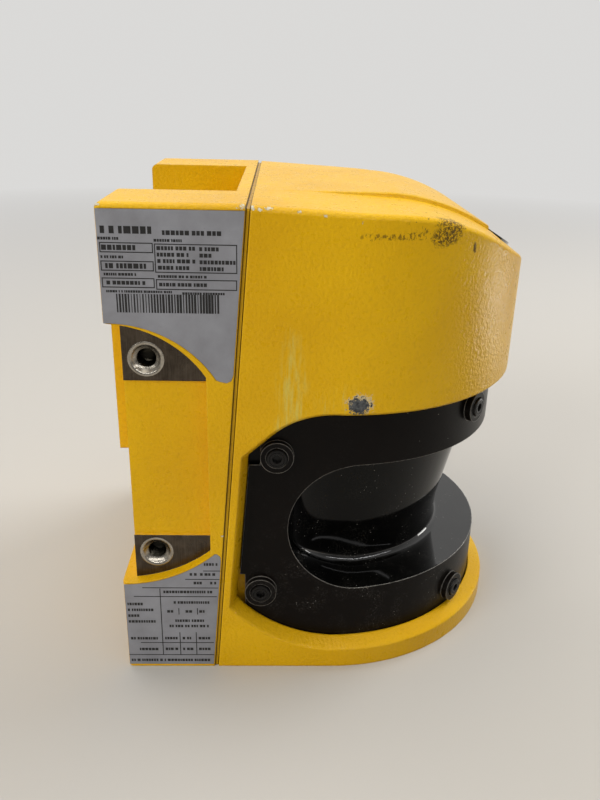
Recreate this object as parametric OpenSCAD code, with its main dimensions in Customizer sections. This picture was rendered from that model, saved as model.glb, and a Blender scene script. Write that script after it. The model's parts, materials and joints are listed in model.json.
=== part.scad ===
// Safety laser scanner: a cast sensor head with a wrap-round optics cover,
// a cast connection module behind it, and the spinning-mirror optics inside.
// Millimetres. +Z is up, -Y is the front, and the origin is the centre of the base.

/* [Overall] */
// Width of both castings
body_w = 155; // [140:1:180]
// Depth from the nose of the head to the rear of the module
body_d = 160; // [150:1:190]
// Height of both castings
body_h = 185; // [180:1:215]
// Rounding of the outer edges of the castings
edge_r = 2.5; // [1:0.5:3.5]
// Wall of the castings
wall = 5; // [4:0.5:6]

/* [Joint between head and module] */
// Distance from the rear of the module to the joint, at the base
module_d = 36.6; // [34:0.2:42]
// Backward lean of the joint plane in degrees
joint_lean = 4.2; // [0:0.1:5]
// Width of the shadow groove round the joint
groove_w = 1.6; // [1:0.1:2.4]
// Depth of the shadow groove
groove_deep = 0.9; // [0.5:0.1:1.2]
// Thickness of the head's rear bulkhead
bulkhead = 5.3; // [4:0.1:7]

/* [Head roof] */
// Height of the roof's side edge at the joint, below the full height
roof_drop = 0.3; // [0:0.1:1]
// Fall of the rear part of the roof in degrees
roof_fall = 3; // [1:0.5:5]
// Slope of the display panel in degrees
display_slope = 31.5; // [25:0.5:38]
// Where the roof starts to curve down, measured back from the nose
roof_bend = 60; // [54:1:70]
// Radius of the roof's curve
roof_r = 81; // [60:1:90]
// Rise of the crown over the roof's side edges
crown = 1.3; // [0:0.1:2]
// Half width of the crown and of the raised field on the roof
field_w = 41; // [34:1:46]
// Height of the raised field over the crown
field_h = 1.6; // [0.8:0.1:2.5]

/* [Optics opening] */
// Height of the head's lower rim
rim_z = 112.3; // [108:0.1:118]
// Height of the base flange at its outer edge
flange_z = 8.5; // [7:0.1:10]
// Depth of the optics cover's face behind the castings' side
cover_inset = 6.5; // [5:0.5:8]
// Flare of the opening's reveal
reveal = 2.5; // [1:0.1:3]

/* [Optics cover] */
// Wall of the optics cover
cover_t = 3; // [2.5:0.1:3.5]
// Height of the scan plane over the base
scan_z = 63; // [60:0.5:66]
// Upper edge of the scan recess
recess_top = 89; // [86:0.5:92]
// Height of the shelf below the window
shelf_z = 33.4; // [31:0.1:36]
// Radius of the window cone at the recess's upper edge
cone_top_r = 62.3; // [60:0.1:64]
// Radius of the window cone at its lower end
cone_low_r = 53.2; // [52:0.1:55]
// Height of the cone's lower end
cone_low_z = 48; // [44:0.5:52]
// Radius of the recess's round end on each side
recess_end_r = 28.5; // [26:0.5:30]
// Diameter of the bosses round the cover screws
boss_d = 12.5; // [11:0.5:14]
// How far those bosses stand out
boss_h = 2.5; // [1.5:0.1:3.5]

/* [Mirror drive] */
// Distance of the mirror's axis from the front of the nose
axis_front = 67; // [66:0.5:68]
// Radius of the mirror
mirror_r = 20; // [17:0.5:20.5]
// Thickness of the mirror
mirror_t = 4; // [3:0.5:4]
// Diameter of the motor shaft
shaft_d = 5; // [4:0.5:6]
// Radial running clearance of the shaft in its bearings
shaft_play = 0.05; // [0.02:0.01:0.08]
// Number of motor poles on the stator
stator_teeth = 9; // [6:3:12]
// Number of slots in the encoder disc
encoder_slots = 30; // [20:2:40]

/* [Connection module] */
// Width of the bay for the system plug
bay_w = 89; // [80:1:96]
// Height of the bay's floor
bay_floor = 100; // [98:1:110]
// Depth of the bracket recesses in the sides
waist_in = 5.5; // [4:0.5:7]
// Height of the machined bosses over the waist
pad_h = 1; // [0.5:0.1:1.5]
// Distance between the side fixing threads
m8_pitch = 79; // [76:0.5:82]
// Height of the lower side thread
m8_low_z = 52; // [51:0.5:54]
// Distance of the side threads from the rear
m8_back = 13.3; // [12:0.1:15]
// Core diameter of the M8 thread
m8_core_d = 6.8; // [6.6:0.05:6.9]
// Depth of the M8 thread
m8_deep = 9; // [8:0.5:10]
// Spacing of the rear threads across
m6_across = 122; // [116:1:126]
// Spacing of the rear threads upwards
m6_up = 130; // [126:1:134]
// Core diameter of the M6 thread
m6_core_d = 5; // [4.9:0.05:5.2]
// Depth of the M6 thread
m6_deep = 8; // [7:0.5:9]

/* [Hidden] */

$fn = 72;
fit = 0.2;                        // clearance between parts that seat in each other
slip = 0.4;                       // clearance between the cover and the castings
eps = 0.02;                       // overlap of cutters past the faces they open
far = 300;                        // longer than the whole scanner

nose_r = body_w / 2;
nose_y = nose_r - body_d / 2;     // centre of the round nose
rear_y = body_d / 2;
seam_y = rear_y - module_d;       // joint plane at the base
axis_y = axis_front - rear_y;     // mirror axis

cover_r = nose_r - cover_inset;   // outer face of the optics cover
cover_in_r = cover_r - cover_t;
pocket_in = cover_inset - slip;   // the castings' wall round the cover
floor_z = 6;                      // inner floor of the head
cover_low = floor_z + 0.8;        // lower edge of the cover, on its foot gasket
cover_top = rim_z + 0.3;
frame_z = cover_top + 1.2;        // underside of the optics frame, on the cover gasket
frame_t = 4;
ledge_z = frame_z + frame_t;      // ledge that the optics frame is screwed up to
ledge_t = 4;
ledge_in = cover_inset + cover_t;

yellow = "#e8b01c";
black = "#141414";
steel = "#a8a8a6";
alloy = "#b9bcc0";
board_green = "#1f5a35";
brass = "#c9a24a";
copper = "#b4692e";

function seam_at(z) = seam_y - z * tan(joint_lean);

// ---- frames and helpers ----

// Local frame in the joint plane: its Y=0 plane is the joint, and +Y is rearwards
module seam_frame() translate([0, seam_y, 0]) rotate([joint_lean, 0, 0]) children();

// Everything behind, or ahead of, a plane that lies parallel to the joint
module behind(off) seam_frame() translate([-far / 2, off, -far / 4]) cube(far);
module ahead(off) seam_frame() translate([-far / 2, off - far, -far / 4]) cube(far);

// A 2D outline in (Y, Z), drawn out along X from x0 to x1
module across(x0, x1) translate([x0, 0, 0]) rotate([90, 0, 90]) linear_extrude(x1 - x0) children();

// A 2D outline in (X, Z), drawn out along Y from y0 to y1
module along(y0, y1) translate([0, y1, 0]) rotate([90, 0, 0]) linear_extrude(y1 - y0) children();

module both() {
    children();
    mirror([1, 0, 0]) children();
}

// Puts things on the nose: turned by az from the front towards -X, local +X radial
module on_nose(az, z) translate([0, nose_y, z]) rotate([0, 0, 270 - az]) children();

module tube(r_out, r_in, h) difference() {
    cylinder(r = r_out, h = h);
    translate([0, 0, -eps]) cylinder(r = r_in, h = h + 2 * eps);
}

module rounded(w, h, r) for (x = [0, 1]) union() {
    translate([-w / 2 + r, -h / 2]) square([w - 2 * r, h]);
    translate([-w / 2, -h / 2 + r]) square([w, h - 2 * r]);
    for (i = [-1, 1], j = [-1, 1])
        translate([i * (w / 2 - r), j * (h / 2 - r)]) circle(r);
}

// Closed mesh through rings that have equally many points
module loft(rings) {
    n = len(rings[0]);
    m = len(rings);
    points = [for (ring = rings) each ring];
    sides = [for (k = [0:m - 2], i = [0:n - 1]) let (j = (i + 1) % n)
        each [[k * n + i, (k + 1) * n + j, k * n + j], [k * n + i, (k + 1) * n + i, (k + 1) * n + j]]];
    caps = [[for (i = [0:n - 1]) i], [for (i = [n - 1:-1:0]) (m - 1) * n + i]];
    polyhedron(points, concat(sides, caps), convexity = 6);
}

// ---- plan and roof of the head ----

// Plan outline of the castings, set in by a margin
module plan(inset = 0) {
    translate([0, nose_y]) circle(nose_r - inset, $fn = 180);
    translate([-nose_r + inset, nose_y]) square([2 * (nose_r - inset), rear_y - nose_y]);
}

bend_y = -rear_y + roof_bend;
edge_z = body_h - roof_drop;
bend_z = edge_z - (seam_at(body_h) - bend_y) * tan(roof_fall);
slope_y = bend_y - roof_r * (sin(display_slope) - sin(roof_fall));
slope_z = bend_z - roof_r * (cos(roof_fall) - cos(display_slope));

// Slope angle and height of the roof's side edge at y
function roof_angle(y) = y >= bend_y ? roof_fall : y <= slope_y ? display_slope
    : asin(sin(roof_fall) + (bend_y - y) / roof_r);
function roof_z(y) = y >= bend_y ? edge_z - (seam_at(body_h) - y) * tan(roof_fall)
    : y <= slope_y ? slope_z - (slope_y - y) * tan(display_slope)
    : bend_z - roof_r * (cos(roof_fall) - cos(roof_angle(y)));
function half_w(y) = y >= nose_y ? nose_r : sqrt(max(nose_r * nose_r - pow(y - nose_y, 2), 0));
// Height of the centre of an edge ball that touches the roof
function ball_z(y) = roof_z(y) - edge_r / cos(roof_angle(y));

rear_of_joint = seam_y + 2 * edge_r;
// Places along the roof, rear to front
roof_steps = 16;
roof_ys = concat([seam_at(body_h) + 0.6, 8],
    [for (i = [0:roof_steps]) bend_y - i * (bend_y - slope_y) / roof_steps]);
arc_step = 3;
bar = 0.4;

// Bar across the roof: the roof's crown, raised by lift
module roof_bar(half, y, lift) translate([-half, y, min(roof_z(y) + crown + lift, body_h) - bar])
    cube([2 * half, bar, bar]);

// The whole head as one rounded block, before it is hollowed
module head_block() {
    difference() {
        union() {
            linear_extrude(rim_z - 10) plan();
            hull() {
                translate([0, 0, rim_z - 12]) linear_extrude(1) plan_facets();
                for (a = [0:arc_step:180])
                    let (y = nose_y - (nose_r - edge_r) * sin(a))
                        translate([(nose_r - edge_r) * cos(a), y, ball_z(y)])
                            rotate([0, 0, -a]) sphere(edge_r, $fn = 24);
                for (s = [-1, 1], y = roof_ys) if (y > nose_y)
                    translate([s * (nose_r - edge_r), y, ball_z(y)]) sphere(edge_r, $fn = 24);
                for (y = roof_ys) roof_bar(field_w, y, 0);
            }
            roof_field();
        }
        behind(0);
    }
}

module plan_facets() intersection() {
    union() {
        translate([0, nose_y]) circle(nose_r, $fn = 360 / arc_step);
        translate([-nose_r, nose_y]) square([2 * nose_r, rear_of_joint - nose_y]);
    }
    square(far, center = true);
}

// Raised field on the roof, which ends in a step above the display
field_steps = [[0, 0], [0.7, 0.75], [2, 1]];
module roof_field() hull() for (y = concat([for (t = roof_ys) if (t > slope_y + 2) t], [slope_y + 1]))
    for (k = field_steps) roof_bar(field_w - k[0], y, k[1] * field_h - (k[1] > 0 ? 0 : 1));

// Roof profile in (Y, Z), lowered by d
module roof_profile(d) polygon(concat(
    [[rear_y, 0], [rear_y, roof_z(rear_y) - d], [bend_y + 10, roof_z(bend_y + 10) - d]],
    [for (i = [0:12]) let (y = bend_y - i * (bend_y - slope_y) / 12) [y, roof_z(y) - d]],
    [[-rear_y, roof_z(-rear_y) - d], [-rear_y, 0]]));

// ---- opening for the optics cover ----

// Centres and radii of the opening's lower and upper side curves, which meet the nose's rims
low_arc_r = 56;
low_arc = [nose_y - 2.5, flange_z + sqrt(low_arc_r * low_arc_r - 2.5 * 2.5)];
high_arc_r = 36;
high_arc = [nose_y + 2.5, rim_z - sqrt(high_arc_r * high_arc_r - 2.5 * 2.5)];
high_arc_end = 42;
rear_edge = 3.3;                  // web between the opening and the joint
opening_front = nose_y - eps;

// Side outline of the opening, set in by k: lower curve forwards to rearwards, then back along the top
function low_z(y, k) = low_arc[1] - sqrt(pow(low_arc_r - k, 2) - pow(y - low_arc[0], 2));
function rear_line(z, k) = seam_at(z) - rear_edge - 0.8 * k;
function opening_ring(x, k) =
    let (low_end = rear_line(low_z(35, k), k),
         ys = [for (i = [0:14]) opening_front + i * (low_end - opening_front) / 14],
         end_y = high_arc[0] + (high_arc_r - k) * sin(high_arc_end),
         end_z = high_arc[1] + (high_arc_r - k) * cos(high_arc_end),
         top_y = rear_line(95, k))
    concat([for (y = ys) [x, y, low_z(y, k)]],
        [[x, top_y, end_z - (top_y - end_y) * tan(high_arc_end)]],
        [for (i = [0:9]) let (a = high_arc_end * (1 - i / 9))
            [x, high_arc[0] + (high_arc_r - k) * sin(a), high_arc[1] + (high_arc_r - k) * cos(a)]],
        [[x, opening_front, high_arc[1] + high_arc_r - k]]);

// Steps of the reveal: distance from the mid plane and how far the outline is set in
reveal_steps = [[cover_r - 14, reveal], [cover_r + slip, reveal], [nose_r - 0.8, 0.3],
    [nose_r + 0.1, -0.7], [nose_r + 3, -4]];

module cover_opening() {
    translate([0, nose_y, 0]) intersection() {
        rotate_extrude($fn = 180) polygon(concat(
            [for (s = reveal_steps) [s[0], flange_z + s[1]]],
            [for (i = [len(reveal_steps) - 1:-1:0]) [reveal_steps[i][0], rim_z - reveal_steps[i][1]]]));
        translate([-far / 2, opening_front - nose_y - far, -eps]) cube([far, far, far]);
    }
    both() loft([for (s = reveal_steps) opening_ring(s[0], s[1])]);
}

// ---- places of the cover screws ----

// Side screws as [y, z], nose screws as [turn, z]
side_screws = [[seam_at(93) - 16, 93], [seam_at(33) - 14.5, 33]];
nose_screws = [[39.5, 103.3], [41.5, 18.5]];
screw_d = 4;
screw_head_d = 7.6;
screw_head_h = 3.4;
screw_reach = 12;

// Local +X points out of the cover, and X=0 is its outer face
module at_side_screws() both() for (p = side_screws)
    translate([-cover_r, p[0], p[1]]) rotate([0, 0, 180]) children();
module at_nose_screws(k = [0, 1]) both() for (i = k)
    on_nose(nose_screws[i][0], nose_screws[i][1]) translate([cover_r, 0, 0]) children();
module at_cover_screws() {
    at_side_screws() children();
    at_nose_screws() children();
}
module rod(r, x0, x1) translate([x0, 0, 0]) rotate([0, 90, 0]) cylinder(r = r, h = x1 - x0);

// ---- castings ----

module_screw_x = 61;
module_screw_z = [10, body_h - 11];
frame_back = nose_y + 16.5;       // rear edge of the optics frame
frame_screws_at = [for (s = [-1, 1], p = [[46, -35.5], [62, 8.5]]) [s * p[0], nose_y + p[1]]];

module sensor_housing() color(yellow) difference() {
    union() {
        difference() {
            head_block();
            head_cavity();
            cover_opening();
        }
        head_bosses();
    }
    // display window seat and the light shaft below it
    display_frame() translate([0, 0, window_low]) linear_extrude(10) window_outline(fit);
    display_frame() translate([0, 0, -12]) linear_extrude(20) window_outline(-2.5);
    // configuration connector
    on_nose(config_az, config_z) rod(config_seat_r + fit, config_seat, nose_r + 5);
    on_nose(config_az, config_z) rod(config_body_r + fit, cover_in_r, nose_r);
    // link through the bulkhead
    seam_frame() translate([-link_w / 2 - 1, -bulkhead - 1, link_z - 1])
        cube([link_w + 2, bulkhead + 2, link_h + 2]);
    // threads for the module, cover and optics frame screws
    for (s = [-1, 1], z = module_screw_z)
        translate([s * module_screw_x, seam_at(z) - 11, z]) rotate([-90, 0, 0]) cylinder(r = 2.5, h = 20);
    at_side_screws() rod(screw_d / 2, -screw_reach - 1, 1);
    at_nose_screws([1]) rod(screw_d / 2, -screw_reach - 1, 1);
    for (p = frame_screws_at) translate([p[0], p[1], ledge_z - 1]) cylinder(r = 2, h = 10);
}

// Room inside the head: optics below the ledge, electronics above it
module head_cavity() difference() {
    intersection() {
        union() {
            translate([0, 0, floor_z]) linear_extrude(ledge_z - floor_z) plan(pocket_in);
            translate([0, 0, ledge_z - eps]) linear_extrude(ledge_t + 2 * eps) plan(ledge_in);
            translate([0, 0, ledge_z + ledge_t]) linear_extrude(far) plan(pocket_in);
        }
        across(-far / 2, far / 2) roof_profile(wall);
    }
    behind(-bulkhead);
}

module head_bosses() {
    // carriers of the optics frame
    intersection() {
        translate([0, 0, ledge_z]) linear_extrude(14) plan(1);
        for (p = frame_screws_at) translate([p[0], p[1], ledge_z]) {
            cylinder(r = 6, h = 14);
            // rib out to the wall: radial on the nose, straight across behind it
            let (out = [p[0], min(p[1] - nose_y, 0)])
                rotate([0, 0, atan2(out[1], out[0])])
                    translate([0, -4, 0]) cube([cover_r - norm(out) + 4, 8, 14]);
        }
    }
    // lugs of the rear cover screws, out of the bulkhead
    difference() {
        both() for (p = side_screws)
            translate([-cover_in_r + slip, p[0] - 6, p[1] - 6.5]) cube([9, 30, 13]);
        behind(-1);
    }
    // posts of the lower nose screws
    intersection() {
        at_nose_screws([1]) translate([-cover_t - slip - 9, -6, -nose_screws[1][1] + floor_z - 1])
            cube([9, 12, nose_screws[1][1] - floor_z + 7]);
        translate([0, 0, 1]) linear_extrude(60) plan(3);
    }
    // bosses for the module screws
    for (s = [-1, 1], z = module_screw_z)
        translate([s * module_screw_x, seam_at(z) - 13, z]) rotate([-90, 0, 0]) cylinder(r = 5.5, h = 10);
    // stand-offs of the processor board
    seam_frame() for (s = [-1, 1], z = board_post_z)
        translate([s * board_post_x, -board_back, z]) rotate([-90, 0, 0])
            cylinder(r = post_r, h = board_back - 1);
    // posts of the display board, down from the roof
    display_frame() for (s = [-1, 1])
        translate([s * (board_half - 4), 5, panel_board_top]) cylinder(r = 3, h = 5.5);
}

// Side outline of the module's bracket recess, grown by g, in (Y, Z)
recess_front = rear_y - 34.5;
low_curve = [rear_y, 93.2];
low_curve_r = 52.9;
high_curve = [rear_y, 103.9];
high_curve_r = 41;
curve_split = 98;                 // height at which the upper curve takes over
module bracket_outline() intersection() {
    union() {
        difference() {
            translate(low_curve) circle(low_curve_r, $fn = 120);
            translate([0, curve_split]) square(far);
        }
        difference() {
            translate(high_curve) circle(high_curve_r, $fn = 120);
            translate([0, curve_split - far]) square(far);
        }
    }
    translate([recess_front, 0]) square(far);
}

waist_x = nose_r - waist_in;
pad_x = waist_x + pad_h;
pad_low_z = 59.5;                 // inner edges of the machined bosses
pad_high_z = 123;
waist_rear = rear_y - 5;
bay_frame_x = 63.3;
bay_frame_z = 91.8;
module_floor = 5;
bay_front = 6.3;                  // bridge between the joint and the bay
ear_pocket_z = [body_h - 37, body_h - 19];

module module_block() intersection() {
    linear_extrude(body_h) union() {
        translate([-nose_r, 0]) square([body_w, rear_y - edge_r]);
        translate([-nose_r + edge_r, 0]) square([body_w - 2 * edge_r, rear_y]);
        for (s = [-1, 1]) translate([s * (nose_r - edge_r), rear_y - edge_r]) circle(edge_r);
    }
    along(0, rear_y) union() {
        translate([-nose_r, 0]) square([body_w, body_h - edge_r]);
        translate([-nose_r + edge_r, 0]) square([body_w - 2 * edge_r, body_h]);
        for (s = [-1, 1]) translate([s * (nose_r - edge_r), body_h - edge_r]) circle(edge_r);
    }
    across(-nose_r, nose_r) union() {
        square([rear_y, body_h - edge_r]);
        square([rear_y - edge_r, body_h]);
        translate([rear_y - edge_r, body_h - edge_r]) circle(edge_r);
    }
}

module module_housing() color(yellow) difference() {
    module_block();
    // joint plane with its shadow groove
    ahead(0);
    difference() {
        ahead(groove_w);
        seam_frame() translate([-nose_r + groove_deep, -far / 2, -far / 4])
            cube([body_w - 2 * groove_deep, far, far / 4 + body_h - groove_deep]);
    }
    // bay for the system plug, open upwards and rearwards
    intersection() {
        behind(bay_front);
        translate([-bay_w / 2, 0, bay_floor]) cube([bay_w, far, far]);
    }
    // bracket recesses with their machined bosses, and the relief behind them
    both() {
        across(pad_x, nose_r + 1) bracket_outline();
        across(waist_x, nose_r) intersection() {
            bracket_outline();
            translate([0, pad_low_z]) square([far, pad_high_z - pad_low_z]);
        }
        across(bay_frame_x, nose_r) intersection() {
            bracket_outline();
            translate([waist_rear, 0]) square(far);
        }
    }
    translate([-bay_frame_x - eps, waist_rear, low_curve[1] - low_curve_r])
        cube([2 * (bay_frame_x + eps), far, bay_frame_z - low_curve[1] + low_curve_r]);
    module_cavity();
    // groove of the gasket
    seam_frame() translate([0, gasket_t, body_h / 2]) rotate([90, 0, 0])
        linear_extrude(gasket_t + 1) gasket_outline(0.1);
    // slot for the plug socket
    translate([-socket_w / 2 - fit, socket_y - socket_d / 2 - fit, bay_floor - 20])
        cube([socket_w + 2 * fit, socket_d + 2 * fit, 30]);
    for (s = [-1, 1]) {
        // deep holes for the module screws
        for (z = module_screw_z) translate([s * module_screw_x, 0, z]) rotate([-90, 0, 0]) {
            cylinder(r = 2.8, h = far);
            translate([0, 0, seam_at(z) + 12]) cylinder(r = 4.8, h = far);
        }
        // rear threads
        for (z = [m6_low_z, m6_low_z + m6_up])
            translate([s * m6_across / 2, rear_y - m6_deep, z]) rotate([-90, 0, 0])
                cylinder(r = m6_core_d / 2, h = m6_deep + 1);
        // seats of the thread bushes
        for (z = [m8_low_z, m8_low_z + m8_pitch])
            translate([s * (pad_x - bush_l), rear_y - m8_back, z]) rotate([0, s * 90, 0])
                cylinder(r = bush_r + 0.02, h = bush_l + 1);
    }
    // shallow pockets of the two plates
    across(-nose_r - 1, -nose_r + plate_pocket) {
        rating_outline(0.15);
        data_outline(0.15);
    }
}

m6_low_z = 26;
bush_r = 6;
bush_l = 12;

module module_cavity() difference() {
    union() {
        translate([-waist_x + wall, 0, module_floor])
            cube([2 * (waist_x - wall), waist_rear - wall, bay_frame_z - 2 - module_floor]);
        for (s = [-1, 1])
            translate([s * (bay_w / 2 + nose_r) / 2 - 11, 0, ear_pocket_z[0]])
                cube([22, rear_y - 14, ear_pocket_z[1] - ear_pocket_z[0]]);
    }
    // casting stays round the screws, the threads and the board posts
    for (s = [-1, 1]) {
        translate([s * module_screw_x, 0, module_screw_z[0]]) rotate([-90, 0, 0]) cylinder(r = 7, h = far);
        translate([s * m6_across / 2, rear_y - 16, m6_low_z]) rotate([-90, 0, 0]) cylinder(r = 6, h = 30);
        mirror([s > 0 ? 1 : 0, 0, 0])
            translate([-waist_x + 2, rear_y - m8_back - 9, m8_low_z - 9]) cube([14, 30, 18]);
        seam_frame() for (z = io_post_z)
            translate([s * io_post_x, io_front + board_t, z]) rotate([-90, 0, 0])
                cylinder(r = post_r, h = far);
    }
}

// ---- module joint hardware ----

gasket_t = 1.4;
gasket_w = 1.8;
module gasket_outline(g) difference() {
    rounded(body_w - 5 + 2 * g, body_h - 6 + 2 * g, 3);
    rounded(body_w - 5 - 2 * gasket_w - 2 * g, body_h - 6 - 2 * gasket_w - 2 * g, 2);
}
module module_gasket() color(black) seam_frame()
    translate([0, gasket_t, body_h / 2]) rotate([90, 0, 0]) linear_extrude(gasket_t) gasket_outline(0);

module hex_hole(af, deep) cylinder(r = af / sqrt(3), h = deep, $fn = 6);

// Socket-head screw along +Z, with the underside of its head at Z=0
module cap_screw(d, head_d, head_h, reach, af) {
    difference() {
        cylinder(r = head_d / 2, h = head_h);
        translate([0, 0, head_h * 0.4]) hex_hole(af, head_h);
    }
    translate([0, 0, -reach]) cylinder(r = d / 2, h = reach + eps);
}

module module_screws() color(steel) for (s = [-1, 1], z = module_screw_z)
    translate([s * module_screw_x, seam_at(z) + 12, z]) rotate([-90, 0, 0])
        cap_screw(4.9, 8.5, 5, 21, 4);

// ---- optics cover ----

// Section of the scan recess as [radius, height], grown by g into the cover
function recess_section(g) = [
    [cover_r + 4, shelf_z - g], [54.8 - g, shelf_z - g], [53.3 - g, shelf_z + 0.8 - g],
    [52.6 - g, shelf_z + 2.6 - g], [52.6 - g, shelf_z + 7],
    [cone_low_r - g, cone_low_z], [cone_top_r - g, recess_top + g], [cover_r + 4, recess_top + g]];

recess_mid = (recess_top + shelf_z) / 2;
recess_y = nose_y - 10;           // where the recess's round ends begin
end_steps = 14;

function end_ring(g, t) =
    let (s = sqrt(1 - t * t) * (t == 0 ? 0.999 : 1), y = recess_y + (recess_end_r + g) * t,
         back = nose_y - recess_y)
    [for (p = recess_section(g))
        let (x = sqrt(pow(p[0], 2) - back * back))
        [cover_r + (x - cover_r) * (x > cover_r ? 1 : s), y, recess_mid + (p[1] - recess_mid) * s]];

module scan_recess(g = 0) {
    intersection() {
        translate([0, nose_y, 0]) rotate_extrude($fn = 180) polygon(recess_section(g));
        translate([-far / 2, recess_y - far, 0]) cube(far);
    }
    for (m = [0, 1]) mirror([m, 0, 0])
        loft([for (i = [0:end_steps]) end_ring(g, sin(i * 88 / end_steps))]);
}

module optics_cover() color(black) difference() {
    union() {
        difference() {
            translate([0, 0, cover_low]) linear_extrude(cover_top - cover_low) plan(cover_inset);
            scan_recess(0);
            difference() {
                translate([0, 0, cover_low - 1]) linear_extrude(far) plan(cover_inset + cover_t);
                scan_recess(cover_t);
            }
            behind(-bulkhead - slip);
            // corners cut back round the rear screws
            both() {
                translate([-far, side_screws[0][0] + boss_d / 2, recess_top]) cube([far, far, far]);
                translate([-far, side_screws[1][0] + boss_d / 2, -1])
                    cube([far, far, side_screws[1][1] + boss_d / 2 + 2]);
            }
        }
        at_cover_screws() rod(boss_d / 2, -cover_t + 0.5, boss_h);
    }
    at_cover_screws() {
        rod(screw_d / 2 + 0.15, -10, 10);
        rod(screw_head_d / 2 + 0.3, 0, 10);
    }
}

module cover_gasket() color("#2a2a2a") difference() {
    translate([0, 0, cover_top]) linear_extrude(frame_z - cover_top) difference() {
        plan(cover_inset + 0.3);
        plan(cover_inset + cover_t - 0.2);
    }
    translate([-far / 2, frame_back, 0]) cube(far);
}

module foot_gasket() color("#2a2a2a") difference() {
    translate([0, 0, floor_z]) linear_extrude(cover_low - floor_z) difference() {
        plan(cover_inset + 0.3);
        plan(cover_inset + cover_t - 0.2);
    }
    translate([-far / 2, frame_back + 10, 0]) cube(far);
}

module cover_screws() color("#202020") at_cover_screws() rotate([0, 90, 0])
    cap_screw(screw_d - 0.1, screw_head_d, screw_head_h, screw_reach, 3);

// ---- display ----

// Local frame on the display slope: +Z leaves the face, +Y runs up the slope
module display_frame() translate([0, slope_y, slope_z]) rotate([display_slope, 0, 0]) children();
window_low = -1;
window_t = 2.5;
window_w = 76;
window_arc_r = 62;
module window_outline(g) intersection() {
    translate([0, window_arc_r - 18.2]) circle(window_arc_r + g, $fn = 180);
    translate([-window_w / 2 - g, -30]) square([window_w + 2 * g, 30 - 0.8 + g]);
}
panel_board_top = -9;
panel_board_w = 20;
board_t = 1.6;                    // thickness of every circuit board
board_half = 38;

module display_window() color("#1b1b20") display_frame()
    translate([0, 0, window_low]) linear_extrude(window_t) window_outline(0);

module display_board() color(board_green) display_frame()
    translate([-board_half, -panel_board_w / 2, panel_board_top - board_t])
        cube([2 * board_half, panel_board_w, board_t]);

digit_w = 10;
digit_l = 7;
bar_w = 0.8;
module digit_display() color("#33302e") display_frame() translate([-20, -11, panel_board_top]) difference() {
    cube([digit_w, digit_l, 7]);
    // the digit's seven bars
    translate([digit_w / 2, digit_l / 2, 6.6]) {
        for (y = [-1, 0, 1]) translate([-2, y * 2.4 - bar_w / 2, 0]) cube([4, bar_w, 1]);
        for (x = [-1, 1], y = [-1, 1])
            translate([x * 2.6 - bar_w / 2, y * 1.2 - 0.6, 0]) cube([bar_w, 1.2, 1]);
    }
}

led_pitch = 8;
module status_leds() color("#c8d0c8") display_frame() for (i = [0:4])
    translate([-4 + i * led_pitch, -6, panel_board_top]) {
        cylinder(r = 1.9, h = 1);
        cylinder(r = 1.5, h = 6);
        translate([0, 0, 6]) intersection() {
            sphere(1.5, $fn = 24);
            cylinder(r = 2, h = 2);
        }
    }

// ---- configuration socket on the nose ----

config_az = -34.5;
config_z = 132;
config_seat = nose_r - 0.6;
config_seat_r = 8;
config_body_r = 5.5;
config_ring_t = 1.6;              // flange of the socket on the nose
config_pin_at = 1.6;

// Four contact pins of the socket
module config_pins(x0, x1) for (a = [45:90:315])
    rotate([a, 0, 0]) translate([0, config_pin_at, 0]) rod(0.5, x0, x1);

module config_connector() color(steel) on_nose(config_az, config_z) difference() {
    union() {
        rod(config_body_r, cover_in_r - 4, config_seat);
        rod(config_seat_r - fit, config_seat, config_seat + config_ring_t);
        config_pins(cover_in_r - 8, cover_in_r - 3);
    }
    difference() {
        rod(3.6, config_seat - 7, config_seat + 3);
        config_pins(config_seat - 8, config_seat - 2);
    }
}

cap_r = 6.2;
cap_h = 6;
module config_cap() color(black) on_nose(config_az, config_z) {
    difference() {
        rod(cap_r, config_seat + config_ring_t, config_seat + cap_h);
        // grip flutes
        for (a = [0:20:340]) rotate([a, 0, 0]) translate([0, cap_r + 0.4, 0])
            rod(0.7, config_seat + config_ring_t + 0.8, config_seat + cap_h + 1);
    }
    rod(3.5, config_seat - 1, config_seat + 2);
}

// ---- optics ----

module on_axis(z) translate([0, axis_y, z]) children();
lens_r = 25;
lens_z = frame_z - 14;
lens_t = 8;
barrel_r = 29;
laser_r = 5.5;

module optics_frame() color(alloy) difference() {
    union() {
        difference() {
            translate([0, 0, frame_z]) linear_extrude(frame_t) plan(pocket_in + slip);
            translate([-far / 2, frame_back, 0]) cube(far);
            // relief on both sides of the barrel
            both() translate([38, axis_y - 13, 0]) cube([16, 24, far]);
        }
        on_axis(lens_z - 4) cylinder(r = barrel_r, h = frame_z + frame_t - lens_z + 4);
        // carriers of the upper nose screws
        at_nose_screws([0]) translate([-cover_t - slip - 10, -6, -6])
            cube([10, 12, frame_z - nose_screws[0][1] + 8]);
    }
    on_axis(lens_z) cylinder(r = lens_r + fit, h = far);
    on_axis(0) cylinder(r = lens_r - 2, h = far);
    at_nose_screws([0]) rod(screw_d / 2, -screw_reach - 1, 1);
    for (p = frame_screws_at) translate([p[0], p[1], 0]) cylinder(r = 2.2, h = far);
}

module frame_screws() color(steel) for (p = frame_screws_at)
    translate([p[0], p[1], frame_z]) rotate([180, 0, 0]) cap_screw(3.9, 7, 3.6, 12, 3);

module receiver_lens() color("#8fb7c4") on_axis(lens_z) difference() {
    intersection() {
        cylinder(r = lens_r, h = lens_t);
        translate([0, 0, lens_t - 68]) sphere(68, $fn = 120);
    }
    translate([0, 0, -1]) cylinder(r = laser_r + 0.5, h = lens_t + 2);
}

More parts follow.
